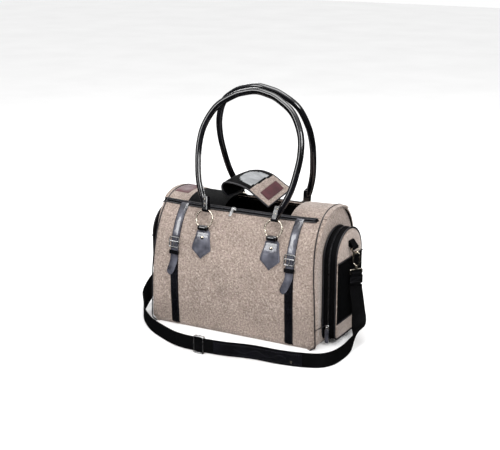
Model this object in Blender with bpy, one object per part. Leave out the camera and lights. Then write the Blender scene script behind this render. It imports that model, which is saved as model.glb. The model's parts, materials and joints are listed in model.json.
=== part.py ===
"""Soft-sided pet carrier bag: structure, trim, hardware and everything that moves.

Metres, +Z up.  X runs along the bag, the buckled front faces -Y, and the bag
stands on z = 0 with its middle over the origin.
"""
import math

import bmesh
import bpy
from mathutils import Matrix, Vector

# ---- driving dimensions -------------------------------------------------
LENGTH = 0.400
WIDTH = 0.230
HEIGHT = 0.295
SHOULDER_Z = 0.100          # where the sides start to curve inward
ROUNDNESS = 2.47            # exponent of the curved top section
PANEL = 0.004               # quilted wall thickness
GAP = 0.0003                # clearance between sewn pieces
LIFT = 0.0006               # clearance under a piece that follows the curved wall

BORDER_Z = 0.273            # where tweed front meets the black zipper band
OPENING_HALF = 0.058        # half width of the top opening
OPENING_X = (-0.048, 0.118)
LEFT_STRIP_X = -0.142
DECK_THICK = 0.003          # strips and mesh of the top
BOARD_TOP = 0.0085
PAD_Z = (0.0088, 0.024)
TOP_PATCH_X = (-0.186, -0.154)
TOP_PATCH_HALF = 0.034
PATCH_THICK = 0.0012

FLAP_HALF = 0.054
FLAP_THICK = 0.003
FLAP_ROOT = (-0.0455, 0.2980)
FLAP_LENGTHS = (0.037, 0.065, 0.061)
FLAP_SLOPES = (100.0, 0.0, -35.0)
FLAP_TRIM = 0.0022          # each plate stops this far from its bend
WINDOW_RIM = 0.010          # frame of the mesh window, at its ends
WINDOW_HALF = 0.039
FLAP_PATCH = (0.034, 0.072, 0.0011)

STRAP_X = 0.1444
STRAP_HALF = 0.010
BELT_LOW_Z = 0.005
TIP_LOW_Z = 0.119
BUCKLE_Z = 0.194
BUCKLE = (0.028, 0.031, 0.0028)
BUCKLE_RIM = 0.0075         # the hole is this much smaller than the frame
KEEPER_Z = (0.167, 0.1755)
KEEPER_HALF = 0.0125
HANDLE_X = 0.086
HANDLE_SHIFT = {"front": 0.010, "back": 0.0}
PATCH_HALF = 0.019
PATCH_Z = (0.166, 0.176, 0.186, 0.2345)   # point, half way, full width, top
LOOP_Z = 0.2314
LOOP_OUT = 0.0086           # ring wire stands this far off the wall at the loop
RING_R = 0.0205
WIRE_R = 0.0020
RING_LEAN = 20.0
LOOP_INNER = 0.0046
LOOP_OUTER = 0.0070
LOOP_HALF = 0.0085
HANDLE_TUBE = 0.0070
HANDLE_EYE = 0.0056         # the tube starts this far above its eye
HANDLE_TOP_Y = 0.012        # crown's distance from the middle plane
HANDLE_TOP_Z = {"front": 0.533, "back": 0.539}
ARCH_SPREAD = {"front": 0.96, "back": 0.76}
HANDLE_ARCH = ((0.0, 0.000), (0.010, 0.07), (0.028, 0.22), (0.037, 0.37), (0.041, 0.53),
               (0.034, 0.69), (0.008, 0.85), (-0.032, 0.95), (-0.060, 0.985), (-0.086, 1.0))

POCKET_HALF = 0.066
POCKET_Z = (0.012, 0.190, 0.250)
POCKET_X = (0.2003, 0.2297, 0.2300, 0.2340)
WINDOW_Z = (0.050, 0.186)
TAB_X = 0.2445
TAB_Z = 0.209
DRING_R = 0.015
DRING_SWING = 20.0
HOOK_R = 0.0075
HOOK_WIRE = 0.0018
GATE_Z = (0.1768, 0.1895)
WEB_HALF = 0.016
WEB_THICK = 0.0024
STRAP_END_Z = 0.1276        # lower edge of the stitched end
WEB_SIDE = Vector((0.60, 0.80, 0.0))
ON_EDGE = Vector((0.0, 0.0, 1.0))
ADJUSTER = (0.026, 0.0374)   # along the strap, across it
ADJUSTER_AT = 56            # steps along the strap's path
OVERLAY_AT = (40, 53)
STUD_DROP = 0.007

TOP_SLIDER_X = -0.018
END_SLIDER_Z = 0.040
END_PULL_LOW_Z = 0.005

# centre line of the shoulder strap from the right hook to the left hook, and
# the direction of its width there
STRAP_ROUTE = (
    ((0.2500, 0.0000, 0.1240), WEB_SIDE),
    ((0.2500, 0.0000, 0.1170), WEB_SIDE),
    ((0.2545, -0.0015, 0.0950), WEB_SIDE),
    ((0.2600, -0.0045, 0.0700), WEB_SIDE),
    ((0.2655, -0.0140, 0.0440), Vector((0.72, 0.50, 0.48))),
    ((0.2715, -0.0420, 0.0240), Vector((0.35, 0.22, 0.91))),
    ((0.2765, -0.0850, 0.0172), ON_EDGE),
    ((0.2785, -0.1280, 0.0167), ON_EDGE),
    ((0.2735, -0.1660, 0.0167), ON_EDGE),
    ((0.2560, -0.1920, 0.0167), ON_EDGE),
    ((0.2220, -0.2060, 0.0167), ON_EDGE),
    ((0.1740, -0.2145, 0.0167), ON_EDGE),
    ((0.1120, -0.2235, 0.0196), ON_EDGE),
    ((0.0500, -0.2360, 0.0196), ON_EDGE),
    ((-0.0070, -0.2400, 0.0196), ON_EDGE),
    ((-0.0620, -0.2360, 0.0196), ON_EDGE),
    ((-0.1140, -0.2100, 0.0167), ON_EDGE),
    ((-0.1660, -0.1800, 0.0167), ON_EDGE),
    ((-0.2120, -0.1390, 0.0172), ON_EDGE),
    ((-0.2440, -0.0960, 0.0190), ON_EDGE),
    ((-0.2640, -0.0560, 0.0280), Vector((-0.35, -0.22, 0.91))),
    ((-0.2690, -0.0200, 0.0460), Vector((-0.70, -0.45, 0.55))),
    ((-0.2600, -0.0045, 0.0700), -WEB_SIDE),
    ((-0.2545, -0.0015, 0.0950), -WEB_SIDE),
    ((-0.2500, 0.0000, 0.1170), -WEB_SIDE),
    ((-0.2500, 0.0000, 0.1240), -WEB_SIDE),
)

TWEED = (0.47, 0.40, 0.36, 1.0)
PATENT = (0.012, 0.012, 0.016, 1.0)
BLACK = (0.020, 0.020, 0.024, 1.0)
OXBLOOD = (0.075, 0.020, 0.026, 1.0)
STEEL = (0.72, 0.70, 0.66, 1.0)
LINING = (0.055, 0.050, 0.052, 1.0)
MESH = (0.09, 0.09, 0.10, 1.0)

for old in list(bpy.data.objects):
    bpy.data.objects.remove(old, do_unlink=True)


# ---- builders -----------------------------------------------------------
def finish(name, bm, color, rough=0.8, metal=0.0):
    """Turn a bmesh into a named object with its own material."""
    bmesh.ops.remove_doubles(bm, verts=bm.verts, dist=1e-6)
    bmesh.ops.recalc_face_normals(bm, faces=bm.faces)
    mesh = bpy.data.meshes.new(name)
    bm.to_mesh(mesh)
    bm.free()
    obj = bpy.data.objects.new(name, mesh)
    bpy.context.scene.collection.objects.link(obj)
    mat = bpy.data.materials.new(name)
    mat.use_nodes = True
    shader = mat.node_tree.nodes["Principled BSDF"]
    shader.inputs["Base Color"].default_value = color
    shader.inputs["Roughness"].default_value = rough
    shader.inputs["Metallic"].default_value = metal
    mesh.materials.append(mat)
    mesh.shade_smooth()
    mesh.set_sharp_from_angle(angle=math.radians(35))
    return obj


def loft(bm, sections, closed=False):
    """Skin equal rings of points, one ring per section, and cap open ends."""
    rings = [[bm.verts.new(p) for p in section] for section in sections]
    count = len(rings[0])
    pairs = list(zip(rings, rings[1:]))
    if closed:
        pairs.append((rings[-1], rings[0]))
    for ring, following in pairs:
        for i in range(count):
            j = (i + 1) % count
            bm.faces.new((ring[i], ring[j], following[j], following[i]))
    if not closed:
        bm.faces.new(rings[0])
        bm.faces.new(list(reversed(rings[-1])))


def prism(name, outline, start, u_axis, v_axis, depth, color, rough=0.8, metal=0.0):
    """Extrude a flat outline given along two axes, from start along their normal."""
    u_axis, v_axis, start = Vector(u_axis), Vector(v_axis), Vector(start)
    normal = u_axis.cross(v_axis).normalized() * depth
    base = [start + u_axis * u + v_axis * v for u, v in outline]
    bm = bmesh.new()
    loft(bm, [base, [p + normal for p in base]])
    return finish(name, bm, color, rough, metal)


def box(name, low, high, color, rough=0.8, metal=0.0):
    outline = [(low[0], low[1]), (high[0], low[1]), (high[0], high[1]), (low[0], high[1])]
    return prism(name, outline, (0, 0, low[2]), (1, 0, 0), (0, 1, 0), high[2] - low[2], color, rough, metal)


def plate(name, centre, along, across, sizes, color, rough=0.8, metal=0.0):
    """A box with its length and width along two given directions."""
    along, across = Vector(along).normalized(), Vector(across).normalized()
    half_a, half_b, thick = sizes[0] / 2, sizes[1] / 2, sizes[2]
    normal = along.cross(across).normalized()
    outline = [(-half_a, -half_b), (half_a, -half_b), (half_a, half_b), (-half_a, half_b)]
    start = Vector(centre) - normal * thick / 2
    return prism(name, outline, start, along, across, thick, color, rough, metal)


def tube(name, points, radius, sides, color, rough=0.4, metal=0.0, closed=False):
    """A round rod along a path."""
    points = [Vector(p) for p in points]
    count = len(points)
    sections = []
    normal = None
    for i, point in enumerate(points):
        before = points[i - 1] if (i or closed) else point
        after = points[(i + 1) % count] if (i < count - 1 or closed) else point
        tangent = (after - before).normalized()
        if normal is None:
            normal = tangent.orthogonal().normalized()
        normal = (normal - tangent * normal.dot(tangent)).normalized()
        side = tangent.cross(normal)
        ring = []
        for k in range(sides):
            angle = math.tau * (k + 0.5) / sides
            ring.append(point + (normal * math.cos(angle) + side * math.sin(angle)) * radius)
        sections.append(ring)
    bm = bmesh.new()
    loft(bm, sections, closed)
    return finish(name, bm, color, rough, metal)


def sleeve(name, centre, axis, inner, outer, half, color, rough=0.5, metal=0.0, sides=14):
    """A short open tube."""
    axis = Vector(axis).normalized()
    first = axis.orthogonal().normalized()
    second = axis.cross(first)
    sections = []
    for radius, shift in ((outer, -half), (outer, half), (inner, half), (inner, -half)):
        sections.append([Vector(centre) + axis * shift + (first * math.cos(math.tau * k / sides)
                         + second * math.sin(math.tau * k / sides)) * radius for k in range(sides)])
    bm = bmesh.new()
    loft(bm, sections, closed=True)
    return finish(name, bm, color, rough, metal)


def combine(base, other, operation):
    """Boolean two objects and keep the first."""
    modifier = base.modifiers.new("combine", "BOOLEAN")
    modifier.operation = operation
    modifier.solver = "EXACT"
    modifier.object = other
    bpy.context.view_layer.update()
    evaluated = base.evaluated_get(bpy.context.evaluated_depsgraph_get())
    result = bpy.data.meshes.new_from_object(evaluated)
    base.modifiers.clear()
    base.data = result
    bpy.data.objects.remove(other, do_unlink=True)
    return base


def place_origin(obj, point):
    """Put a moving piece's origin on its joint's axis."""
    point = Vector(point)
    obj.data.transform(Matrix.Translation(-point))
    obj.location = point


# ---- the bag's curved section -------------------------------------------
def theta_at_height(z):
    return math.asin(((z - SHOULDER_Z) / (HEIGHT - SHOULDER_Z)) ** (ROUNDNESS / 2))


def theta_at_depth(y):
    return math.acos((y / (WIDTH / 2)) ** (ROUNDNESS / 2))


def section_point(theta, offset=0.0):
    """Distance from the middle plane and height, moved outward by offset."""
    power = 2 / ROUNDNESS

    def bare(angle):
        angle = min(max(angle, 0.0), math.pi / 2)
        return (WIDTH / 2 * math.cos(angle) ** power if angle < math.pi / 2 - 1e-9 else 0.0,
                SHOULDER_Z + (HEIGHT - SHOULDER_Z) * math.sin(angle) ** power)

    y, z = bare(theta)
    if theta <= 1e-6:
        return y + offset, z
    if theta >= math.pi / 2 - 1e-6:
        return y, z + offset
    low, high = bare(theta - 0.004), bare(theta + 0.004)
    run = Vector((high[0] - low[0], high[1] - low[1])).normalized()
    return y + run.y * offset, z - run.x * offset


def wall_point(z, offset=0.0):
    """A point of the wall at a height below the shoulder or on the curve."""
    if z <= SHOULDER_Z:
        return WIDTH / 2 + offset, z
    return section_point(theta_at_height(z), offset)


def wall_frame(side, x, z, offset):
    """Point, upward tangent and outward normal on the front (-1) or back (+1) wall."""
    y, height = wall_point(z, offset)
    below, above = wall_point(z - 0.002), wall_point(z + 0.002)
    up = Vector((0, side * (above[0] - below[0]), above[1] - below[1])).normalized()
    out = Vector((0, side * up.z, -side * up.y))
    return Vector((x, side * y, height)), up, out


def curve_strip(name, side, x_range, angles, offsets, color, rough=0.8, foot=None):
    """A slab that follows the section between two angles; foot adds the straight wall below."""
    steps = max(4, int((angles[1] - angles[0]) / 0.10))
    thetas = [angles[0] + (angles[1] - angles[0]) * i / steps for i in range(steps + 1)]
    outer = [section_point(t, offsets[1]) for t in thetas]
    inner = [section_point(t, offsets[0]) for t in thetas]
    if foot is not None:
        outer.insert(0, (WIDTH / 2 + offsets[1], foot))
        inner.insert(0, (WIDTH / 2 + offsets[0], foot))
    outline = [(side * y, z) for y, z in outer + inner[::-1]]
    return prism(name, outline, (x_range[0], 0, 0), (0, 1, 0), (0, 0, 1),
                 x_range[1] - x_range[0], color, rough)


def wall_patch(name, side, rows, offsets, color, rough=0.8):
    """A thin piece on the wall, given as rows of (height, low x, high x)."""
    sections = []
    for z, low_x, high_x in rows:
        near, far = wall_point(z, offsets[0]), wall_point(z, offsets[1])
        sections.append([(low_x, side * near[0], near[1]), (high_x, side * near[0], near[1]),
                         (high_x, side * far[0], far[1]), (low_x, side * far[0], far[1])])
    bm = bmesh.new()
    loft(bm, sections)
    return finish(name, bm, color, rough)


def even_rows(z_low, z_high, x_low, x_high, step=0.009):
    count = max(1, math.ceil((z_high - z_low) / step))
    return [(z_low + (z_high - z_low) * i / count, x_low, x_high) for i in range(count + 1)]


# ---- shell --------------------------------------------------------------
def build_shell():
    inside_x = (-LENGTH / 2 + PANEL + GAP, LENGTH / 2 - PANEL - GAP)
    border = theta_at_height(BORDER_Z)
    lip = theta_at_depth(OPENING_HALF)
    top = math.pi / 2
    for side, word in ((-1, "front"), (1, "back")):
        curve_strip(word + "_panel", side, inside_x, (0.0, border - 0.002), (-PANEL, 0.0), TWEED,
                    foot=PANEL + GAP)
        curve_strip("top_" + word + "_band", side, inside_x, (border + 0.002, lip), (-PANEL, 0.0), BLACK)
    box("bottom_panel", (inside_x[0], -WIDTH / 2, 0.0), (inside_x[1], WIDTH / 2, PANEL), BLACK)
    half = WIDTH / 2 - PANEL - 0.002
    board_x = inside_x[1] - 0.002
    pad_x = inside_x[1] - 0.006
    box("base_board", (-board_x, -half, PANEL + GAP), (board_x, half, BOARD_TOP), LINING)
    box("floor_pad", (-pad_x, 0.004 - half, PAD_Z[0]), (pad_x, half - 0.004, PAD_Z[1]), LINING, 0.95)

    arc = [section_point(top * i / 16) for i in range(17)]
    outline = [(-y, z) for y, z in arc] + [(y, z) for y, z in arc[-2::-1]]
    outline = [(-WIDTH / 2, 0.0)] + outline + [(WIDTH / 2, 0.0)]
    for word, start in (("left", -LENGTH / 2), ("right", LENGTH / 2 - PANEL)):
        prism(word + "_end_panel", outline, (start, 0, 0), (0, 1, 0), (0, 0, 1), PANEL, TWEED)

    deck = [section_point(lip + 0.004 + (top - lip - 0.004) * i / 5) for i in range(6)]
    deck_under = [section_point(lip + 0.004 + (top - lip - 0.004) * i / 5, -DECK_THICK) for i in range(6)]
    upper = [(-y, z) for y, z in deck] + [(y, z) for y, z in deck[-2::-1]]
    lower = [(-y, z) for y, z in deck_under] + [(y, z) for y, z in deck_under[-2::-1]]
    spans = (("top_left_strip", inside_x[0], LEFT_STRIP_X, TWEED),
             ("top_mesh_panel", LEFT_STRIP_X + GAP, OPENING_X[0], MESH),
             ("top_right_strip", OPENING_X[1], inside_x[1], TWEED))
    for name, start, end, color in spans:
        prism(name, upper + lower[::-1], (start, 0, 0), (0, 1, 0), (0, 0, 1), end - start, color)
    edge = theta_at_depth(TOP_PATCH_HALF)
    above = [section_point(edge + (top - edge) * i / 3, LIFT) for i in range(4)]
    over = [section_point(edge + (top - edge) * i / 3, LIFT + PATCH_THICK) for i in range(4)]
    first = [(-y, z) for y, z in above] + [(y, z) for y, z in above[-2::-1]]
    second = [(-y, z) for y, z in over] + [(y, z) for y, z in over[-2::-1]]
    prism("top_patch", first + second[::-1], (TOP_PATCH_X[0], 0, 0), (0, 1, 0), (0, 0, 1),
          TOP_PATCH_X[1] - TOP_PATCH_X[0], OXBLOOD, 0.5)


# ---- decorative belts on the front --------------------------------------
def build_belts():
    for sign, word in ((-1, "left"), (1, "right")):
        x = sign * STRAP_X
        low, high = x - STRAP_HALF, x + STRAP_HALF
        rows = even_rows(BELT_LOW_Z, BORDER_Z - 0.001, low, high)
        wall_patch(word + "_belt", -1, rows, (LIFT, 0.0022), PATENT, 0.15)
        rows = [(TIP_LOW_Z, x - 0.002, x + 0.002), (TIP_LOW_Z + 0.008, low + 0.001, high - 0.001)]
        rows += even_rows(TIP_LOW_Z + 0.016, BORDER_Z - 0.001, low + 0.001, high - 0.001)
        wall_patch(word + "_belt_tip", -1, rows, (0.0028, 0.0046), PATENT, 0.15)
        centre, up, out = wall_frame(-1, x, BUCKLE_Z, 0.0072)
        frame = plate(word + "_buckle", centre, (1, 0, 0), up, BUCKLE, STEEL, 0.25, 1.0)
        cut = (BUCKLE[0] - BUCKLE_RIM, BUCKLE[1] - BUCKLE_RIM, 0.01)
        hole = plate("buckle_hole", centre, (1, 0, 0), up, cut, STEEL)
        combine(frame, hole, "DIFFERENCE")
        prong = plate("prong", centre, up, (1, 0, 0), (BUCKLE[1] - 0.002, 0.0026, 0.0020), STEEL)
        combine(frame, prong, "UNION")
        rows = even_rows(KEEPER_Z[0], KEEPER_Z[1], x - KEEPER_HALF, x + KEEPER_HALF)
        wall_patch(word + "_keeper", -1, rows, (0.0052, 0.0068), PATENT, 0.15)


# ---- handles, their rings and anchors -----------------------------------
def ring_points(side, x, loop, lean, count=22):
    centre = Vector((x, 0, 0)) + Vector((0, loop.y, loop.z))
    up = Vector((0, -side * math.sin(lean), math.cos(lean)))
    centre = centre + up * RING_R
    return [centre + Vector((1, 0, 0)) * RING_R * math.sin(math.tau * i / count)
            - up * RING_R * math.cos(math.tau * i / count) for i in range(count)], centre + up * RING_R


def smooth_path(points, steps):
    """Points of a smooth curve through the given ones."""
    points = [Vector(p) for p in points]
    padded = [points[0] * 2 - points[1]] + points + [points[-1] * 2 - points[-2]]
    result = []
    for a, b, c, d in zip(padded, padded[1:], padded[2:], padded[3:]):
        for i in range(steps):
            t = i / steps
            result.append(0.5 * ((2 * b) + (c - a) * t + (2 * a - 5 * b + 4 * c - d) * t * t
                                 + (3 * b - a - 3 * c + d) * t * t * t))
    result.append(points[-1])
    return result


def build_handles():
    lean = math.radians(RING_LEAN)
    for side, word in ((-1, "front"), (1, "back")):
        loop, _, _ = wall_frame(side, 0.0, LOOP_Z, LOOP_OUT)
        for sign, hand in ((-1, "left"), (1, "right")):
            x = sign * HANDLE_X + HANDLE_SHIFT[word]
            rows = [(PATCH_Z[0], x - 0.001, x + 0.001), (PATCH_Z[1], x - 0.010, x + 0.010)]
            rows += even_rows(PATCH_Z[2], PATCH_Z[3], x - PATCH_HALF, x + PATCH_HALF)
            anchor = wall_patch(word + "_" + hand + "_anchor", side, rows, (LIFT, 0.0030), PATENT, 0.2)
            collar = sleeve("collar", (x, loop.y, loop.z), (1, 0, 0), LOOP_INNER, LOOP_OUTER, LOOP_HALF,
                            PATENT)
            combine(anchor, collar, "UNION")
            points, top = ring_points(side, x, loop, lean)
            ring = tube(word + "_" + hand + "_ring", points, WIRE_R, 8, STEEL, 0.2, 1.0, closed=True)
            place_origin(ring, (x, loop.y, loop.z))
        base = Vector((0, top.y, top.z))
        crown = Vector((0, side * HANDLE_TOP_Y, HANDLE_TOP_Z[word]))
        right_leg = []
        for widen, rise in HANDLE_ARCH:
            point = base.lerp(crown, rise)
            point.x = HANDLE_X + (widen * ARCH_SPREAD[word] if widen > 0 else widen)
            right_leg.append(point)
        start = right_leg[0] + (right_leg[1] - right_leg[0]).normalized() * HANDLE_EYE
        right_leg[0] = start
        left_leg = [Vector((-p.x, p.y, p.z)) for p in right_leg]
        shift = Vector((HANDLE_SHIFT[word], 0, 0))
        path = [point + shift for point in smooth_path(left_leg + right_leg[-2::-1], 2)]
        handle = tube(word + "_handle", path, HANDLE_TUBE, 10, PATENT, 0.12)
        for sign in (-1, 1):
            spot = base + shift + Vector((sign * HANDLE_X, 0, 0))
            eye = sleeve("eye", spot, (1, 0, 0), LOOP_INNER, LOOP_OUTER, LOOP_HALF, PATENT)
            combine(handle, eye, "UNION")
        place_origin(handle, base)


# ---- top flap -----------------------------------------------------------
def flap_stations():
    x, z = FLAP_ROOT
    stations = [(x, z)]
    for length, slope in zip(FLAP_LENGTHS, FLAP_SLOPES):
        x += length * math.cos(math.radians(slope))
        z += length * math.sin(math.radians(slope))
        stations.append((x, z))
    return stations


def build_flap():
    stations = flap_stations()
    names = ("flap_root_panel", "flap_window_frame", "flap_end_panel")
    colors = (BLACK, BLACK, TWEED)
    for i, (name, color) in enumerate(zip(names, colors)):
        a, b = (Vector((x, 0, z)) for x, z in stations[i:i + 2])
        along = (b - a).normalized()
        length = FLAP_LENGTHS[i] - 2 * FLAP_TRIM
        middle = (a + b) / 2
        panel = plate(name, middle, along, (0, 1, 0), (length, 2 * FLAP_HALF, FLAP_THICK), color)
        if name == "flap_window_frame":
            hole = plate("window_hole", middle, along, (0, 1, 0),
                         (length - 2 * WINDOW_RIM, 2 * WINDOW_HALF, 0.01), color)
            combine(panel, hole, "DIFFERENCE")
            mesh = plate("flap_mesh", middle, along, (0, 1, 0),
                         (length - 2 * WINDOW_RIM - 2 * GAP, 2 * (WINDOW_HALF - GAP), 0.0010), MESH)
            place_origin(mesh, a)
        if name == "flap_end_panel":
            above = along.cross(Vector((0, 1, 0))).normalized() * (FLAP_THICK / 2 + 0.0009)
            patch = plate("flap_patch", middle + above, along, (0, 1, 0), FLAP_PATCH, OXBLOOD, 0.5)
            place_origin(patch, a)
        place_origin(panel, a)


# ---- end pockets with their zips, D-rings and hooks ---------------------
def pocket_outline(inset):
    half = POCKET_HALF - inset
    low, spring, high = POCKET_Z[0] + inset, POCKET_Z[1], POCKET_Z[2] - inset
    outline = [(-half, low), (half, low)]
    for i in range(13):
        angle = math.pi * i / 12
        outline.append((half * math.cos(angle), spring + (high - spring) * math.sin(angle)))
    return outline


def build_pocket(sign, word):
    base_x = POCKET_X[0] if sign > 0 else -POCKET_X[1]
    face_x = POCKET_X[2] if sign > 0 else -POCKET_X[3]
    depth = POCKET_X[1] - POCKET_X[0]
    across, up = (0, 1, 0), (0, 0, 1)
    gusset = prism(word + "_pocket_gusset", pocket_outline(0.0), (base_x, 0, 0), across, up, depth, BLACK)
    core = prism("core", pocket_outline(0.004), (base_x - 0.01, 0, 0), across, up, depth + 0.02, BLACK)
    combine(gusset, core, "DIFFERENCE")
    prism(word + "_pocket_face", pocket_outline(0.0), (face_x, 0, 0), across, up,
          POCKET_X[3] - POCKET_X[2], TWEED)
    low_x, high_x = sorted((sign * (POCKET_X[3] + GAP), sign * (POCKET_X[3] + 0.0013)))
    half = POCKET_HALF - 0.005
    box(word + "_pocket_window", (low_x, -half, WINDOW_Z[0]), (high_x, half, WINDOW_Z[1]), MESH)


def build_end_hardware(sign, word):
    """Tab, D-ring, snap hook with its gate, and the strap's stitched end."""
    hinge = Vector((sign * TAB_X, 0, TAB_Z))
    collar = sleeve(word + "_dring_tab", hinge, (0, 1, 0), 0.0030, 0.0052, 0.009, BLACK, 0.6)
    low_x, high_x = sorted((sign * (POCKET_X[3] + GAP), sign * (TAB_X - 0.0035)))
    foot = box("foot", (low_x, -0.009, TAB_Z + 0.001), (high_x, 0.009, TAB_Z + 0.028), BLACK)
    combine(collar, foot, "UNION")

    swing = math.radians(DRING_SWING)
    down = Vector((sign * math.sin(swing), 0, -math.cos(swing)))
    loop = [hinge + Vector((0, DRING_R * (1 - 2 * i / 4), 0)) for i in range(5)]
    for i in range(1, 12):
        angle = math.pi * i / 12
        loop.append(hinge + Vector((0, -DRING_R * math.cos(angle), 0)) + down * DRING_R * math.sin(angle))
    ring = tube(word + "_dring", loop, WIRE_R, 8, STEEL, 0.2, 1.0, closed=True)
    place_origin(ring, hinge)

    seat = hinge + down * DRING_R
    x = seat.x
    top_z = seat.z - 0.0028
    low_z = GATE_Z[0] - 0.0008
    path = [Vector((x + sign * HOOK_R, 0, GATE_Z[1] + 0.0006))]
    for i in range(0, 9):
        angle = math.pi * i / 8
        path.append(Vector((x + sign * HOOK_R * math.cos(angle), 0, top_z + HOOK_R * math.sin(angle))))
    for i in range(0, 9):
        angle = math.pi * i / 8
        path.append(Vector((x - sign * HOOK_R * math.cos(angle), 0, low_z - HOOK_R * math.sin(angle))))
    hook = tube(word + "_snap_hook", path, HOOK_WIRE, 8, STEEL, 0.2, 1.0)
    stem_top = low_z - HOOK_R + 0.0006
    stem = tube("stem", [(x, 0, stem_top), (x, 0, stem_top - 0.0105)], 0.0034, 10, STEEL)
    combine(hook, stem, "UNION")
    side = WEB_SIDE * sign
    eye_top, eye_low = stem_top - 0.0098, stem_top - 0.0188
    middle = Vector((x, 0, 0))
    corners = [middle + side * s * 0.0150 + Vector((0, 0, z)) for s, z in
               ((-1, eye_top), (1, eye_top), (1, eye_low), (-1, eye_low))]
    rounded = []
    for i, corner in enumerate(corners):
        before, after = corners[i - 1], corners[(i + 1) % 4]
        rounded.append(corner.lerp(before, 0.003 / (corner - before).length))
        rounded.append(corner.lerp(after, 0.003 / (corner - after).length))
    eye = tube("eye", rounded, HOOK_WIRE, 8, STEEL, closed=True)
    combine(hook, eye, "UNION")
    place_origin(hook, seat)

    end = sleeve(word + "_strap_end", (x, 0, eye_low), side, 0.0024, 0.0046, 0.0115, BLACK, 0.9)
    block_top = eye_low - 0.0030
    block = plate("block", (x, 0, (block_top + STRAP_END_Z) / 2), side, (0, 0, 1),
                  (2 * WEB_HALF, block_top - STRAP_END_Z, 0.0052), BLACK)
    combine(end, block, "UNION")
    place_origin(end, seat)

    gate_x = x + sign * HOOK_R
    ends = [(gate_x, 0, z) for z in GATE_Z]
    gate = tube(word + "_hook_gate", ends, 0.0016, 8, STEEL, 0.2, 1.0)
    place_origin(gate, (gate_x, 0, GATE_Z[0]))


# ---- zip sliders and pulls ----------------------------------------------
def build_zips():
    height = section_point(theta_at_depth(OPENING_HALF + 0.006))[1]
    seat, up, out = wall_frame(-1, TOP_SLIDER_X, height, LIFT + 0.0020)
    slider = plate("top_zip_slider", seat, (1, 0, 0), up, (0.012, 0.008, 0.0038), STEEL, 0.25, 1.0)
    place_origin(slider, seat)
    pivot = seat + out * 0.0028 - up * 0.003
    middle = pivot - up * 0.010 + out * 0.0012
    pull = plate("top_zip_pull", middle, (1, 0, 0), up, (0.0065, 0.020, 0.0014), STEEL, 0.25, 1.0)
    place_origin(pull, pivot)

    x = (POCKET_X[0] + POCKET_X[1]) / 2
    y = -POCKET_HALF - GAP
    slider = box("end_zip_slider", (x - 0.004, y - 0.0042, END_SLIDER_Z - 0.006),
                 (x + 0.004, y, END_SLIDER_Z + 0.006), STEEL, 0.25, 1.0)
    place_origin(slider, (x, y, END_SLIDER_Z))
    pull = box("end_zip_pull", (x - 0.0045, y - 0.0064, END_PULL_LOW_Z),
               (x + 0.0045, y - 0.0046, END_SLIDER_Z - 0.002), PATENT, 0.2)
    place_origin(pull, (x, y - 0.0055, END_SLIDER_Z - 0.002))


# ---- shoulder strap -----------------------------------------------------
def strap_path(steps):
    centres = smooth_path([p for p, _ in STRAP_ROUTE], steps)
    sides = smooth_path([s for _, s in STRAP_ROUTE], steps)
    return centres, sides


def band(name, centres, sides, half, near, far, color, rough):
    """A flat band; near and far are its two faces measured from the centre line."""
    sections = []
    for i, centre in enumerate(centres):
        tangent = (centres[min(i + 1, len(centres) - 1)] - centres[max(i - 1, 0)]).normalized()
        side = (sides[i] - tangent * sides[i].dot(tangent)).normalized()
        face = tangent.cross(side)
        sections.append([centre + side * half + face * near, centre + side * half + face * far,
                         centre - side * half + face * far, centre - side * half + face * near])
    bm = bmesh.new()
    loft(bm, sections)
    return finish(name, bm, color, rough)


def build_shoulder_strap():
    centres, sides = strap_path(4)
    band("shoulder_strap", centres, sides, WEB_HALF, -WEB_THICK / 2, WEB_THICK / 2, BLACK, 0.85)
    low, high = OVERLAY_AT
    band("strap_overlay", centres[low:high + 1], sides[low:high + 1], WEB_HALF - 0.003,
         -WEB_THICK / 2 - LIFT, -WEB_THICK / 2 - 0.0022, PATENT, 0.15)
    middle = centres[ADJUSTER_AT]
    along = (centres[ADJUSTER_AT + 1] - centres[ADJUSTER_AT - 1]).normalized()
    clear = WEB_THICK / 2 + 0.0016
    frame = plate("strap_adjuster", middle, along, (0, 0, 1),
                  (ADJUSTER[0], ADJUSTER[1], 2 * clear + 0.0032), STEEL, 0.25, 1.0)
    slot = plate("slot", middle, along, (0, 0, 1), (0.2, 2 * WEB_HALF + 0.0012, 2 * clear), STEEL)
    combine(frame, slot, "DIFFERENCE")
    opening = plate("opening", middle, along, (0, 0, 1),
                    (ADJUSTER[0] - 0.008, ADJUSTER[1] - 0.0078, 0.03), STEEL)
    combine(frame, opening, "DIFFERENCE")
    place_origin(frame, middle)
    spot = centres[low + 2]
    along = (centres[low + 3] - centres[low + 1]).normalized()
    outward = Vector((0, 0, 1)).cross(along)
    start = spot + outward * (WEB_THICK / 2 + 0.0026) - Vector((0, 0, STUD_DROP))
    tube("overlay_stud", [start, start + outward * 0.0018], 0.0030, 10, STEEL, 0.25, 1.0)


build_shell()
build_belts()
build_handles()
build_flap()
for direction, label in ((-1, "left"), (1, "right")):
    build_pocket(direction, label)
    build_end_hardware(direction, label)
build_zips()
build_shoulder_strap()
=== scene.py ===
"""Looks of the pet carrier bag: tweed shell, patent trim, hardware and shoulder strap."""
import json
import math

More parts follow.
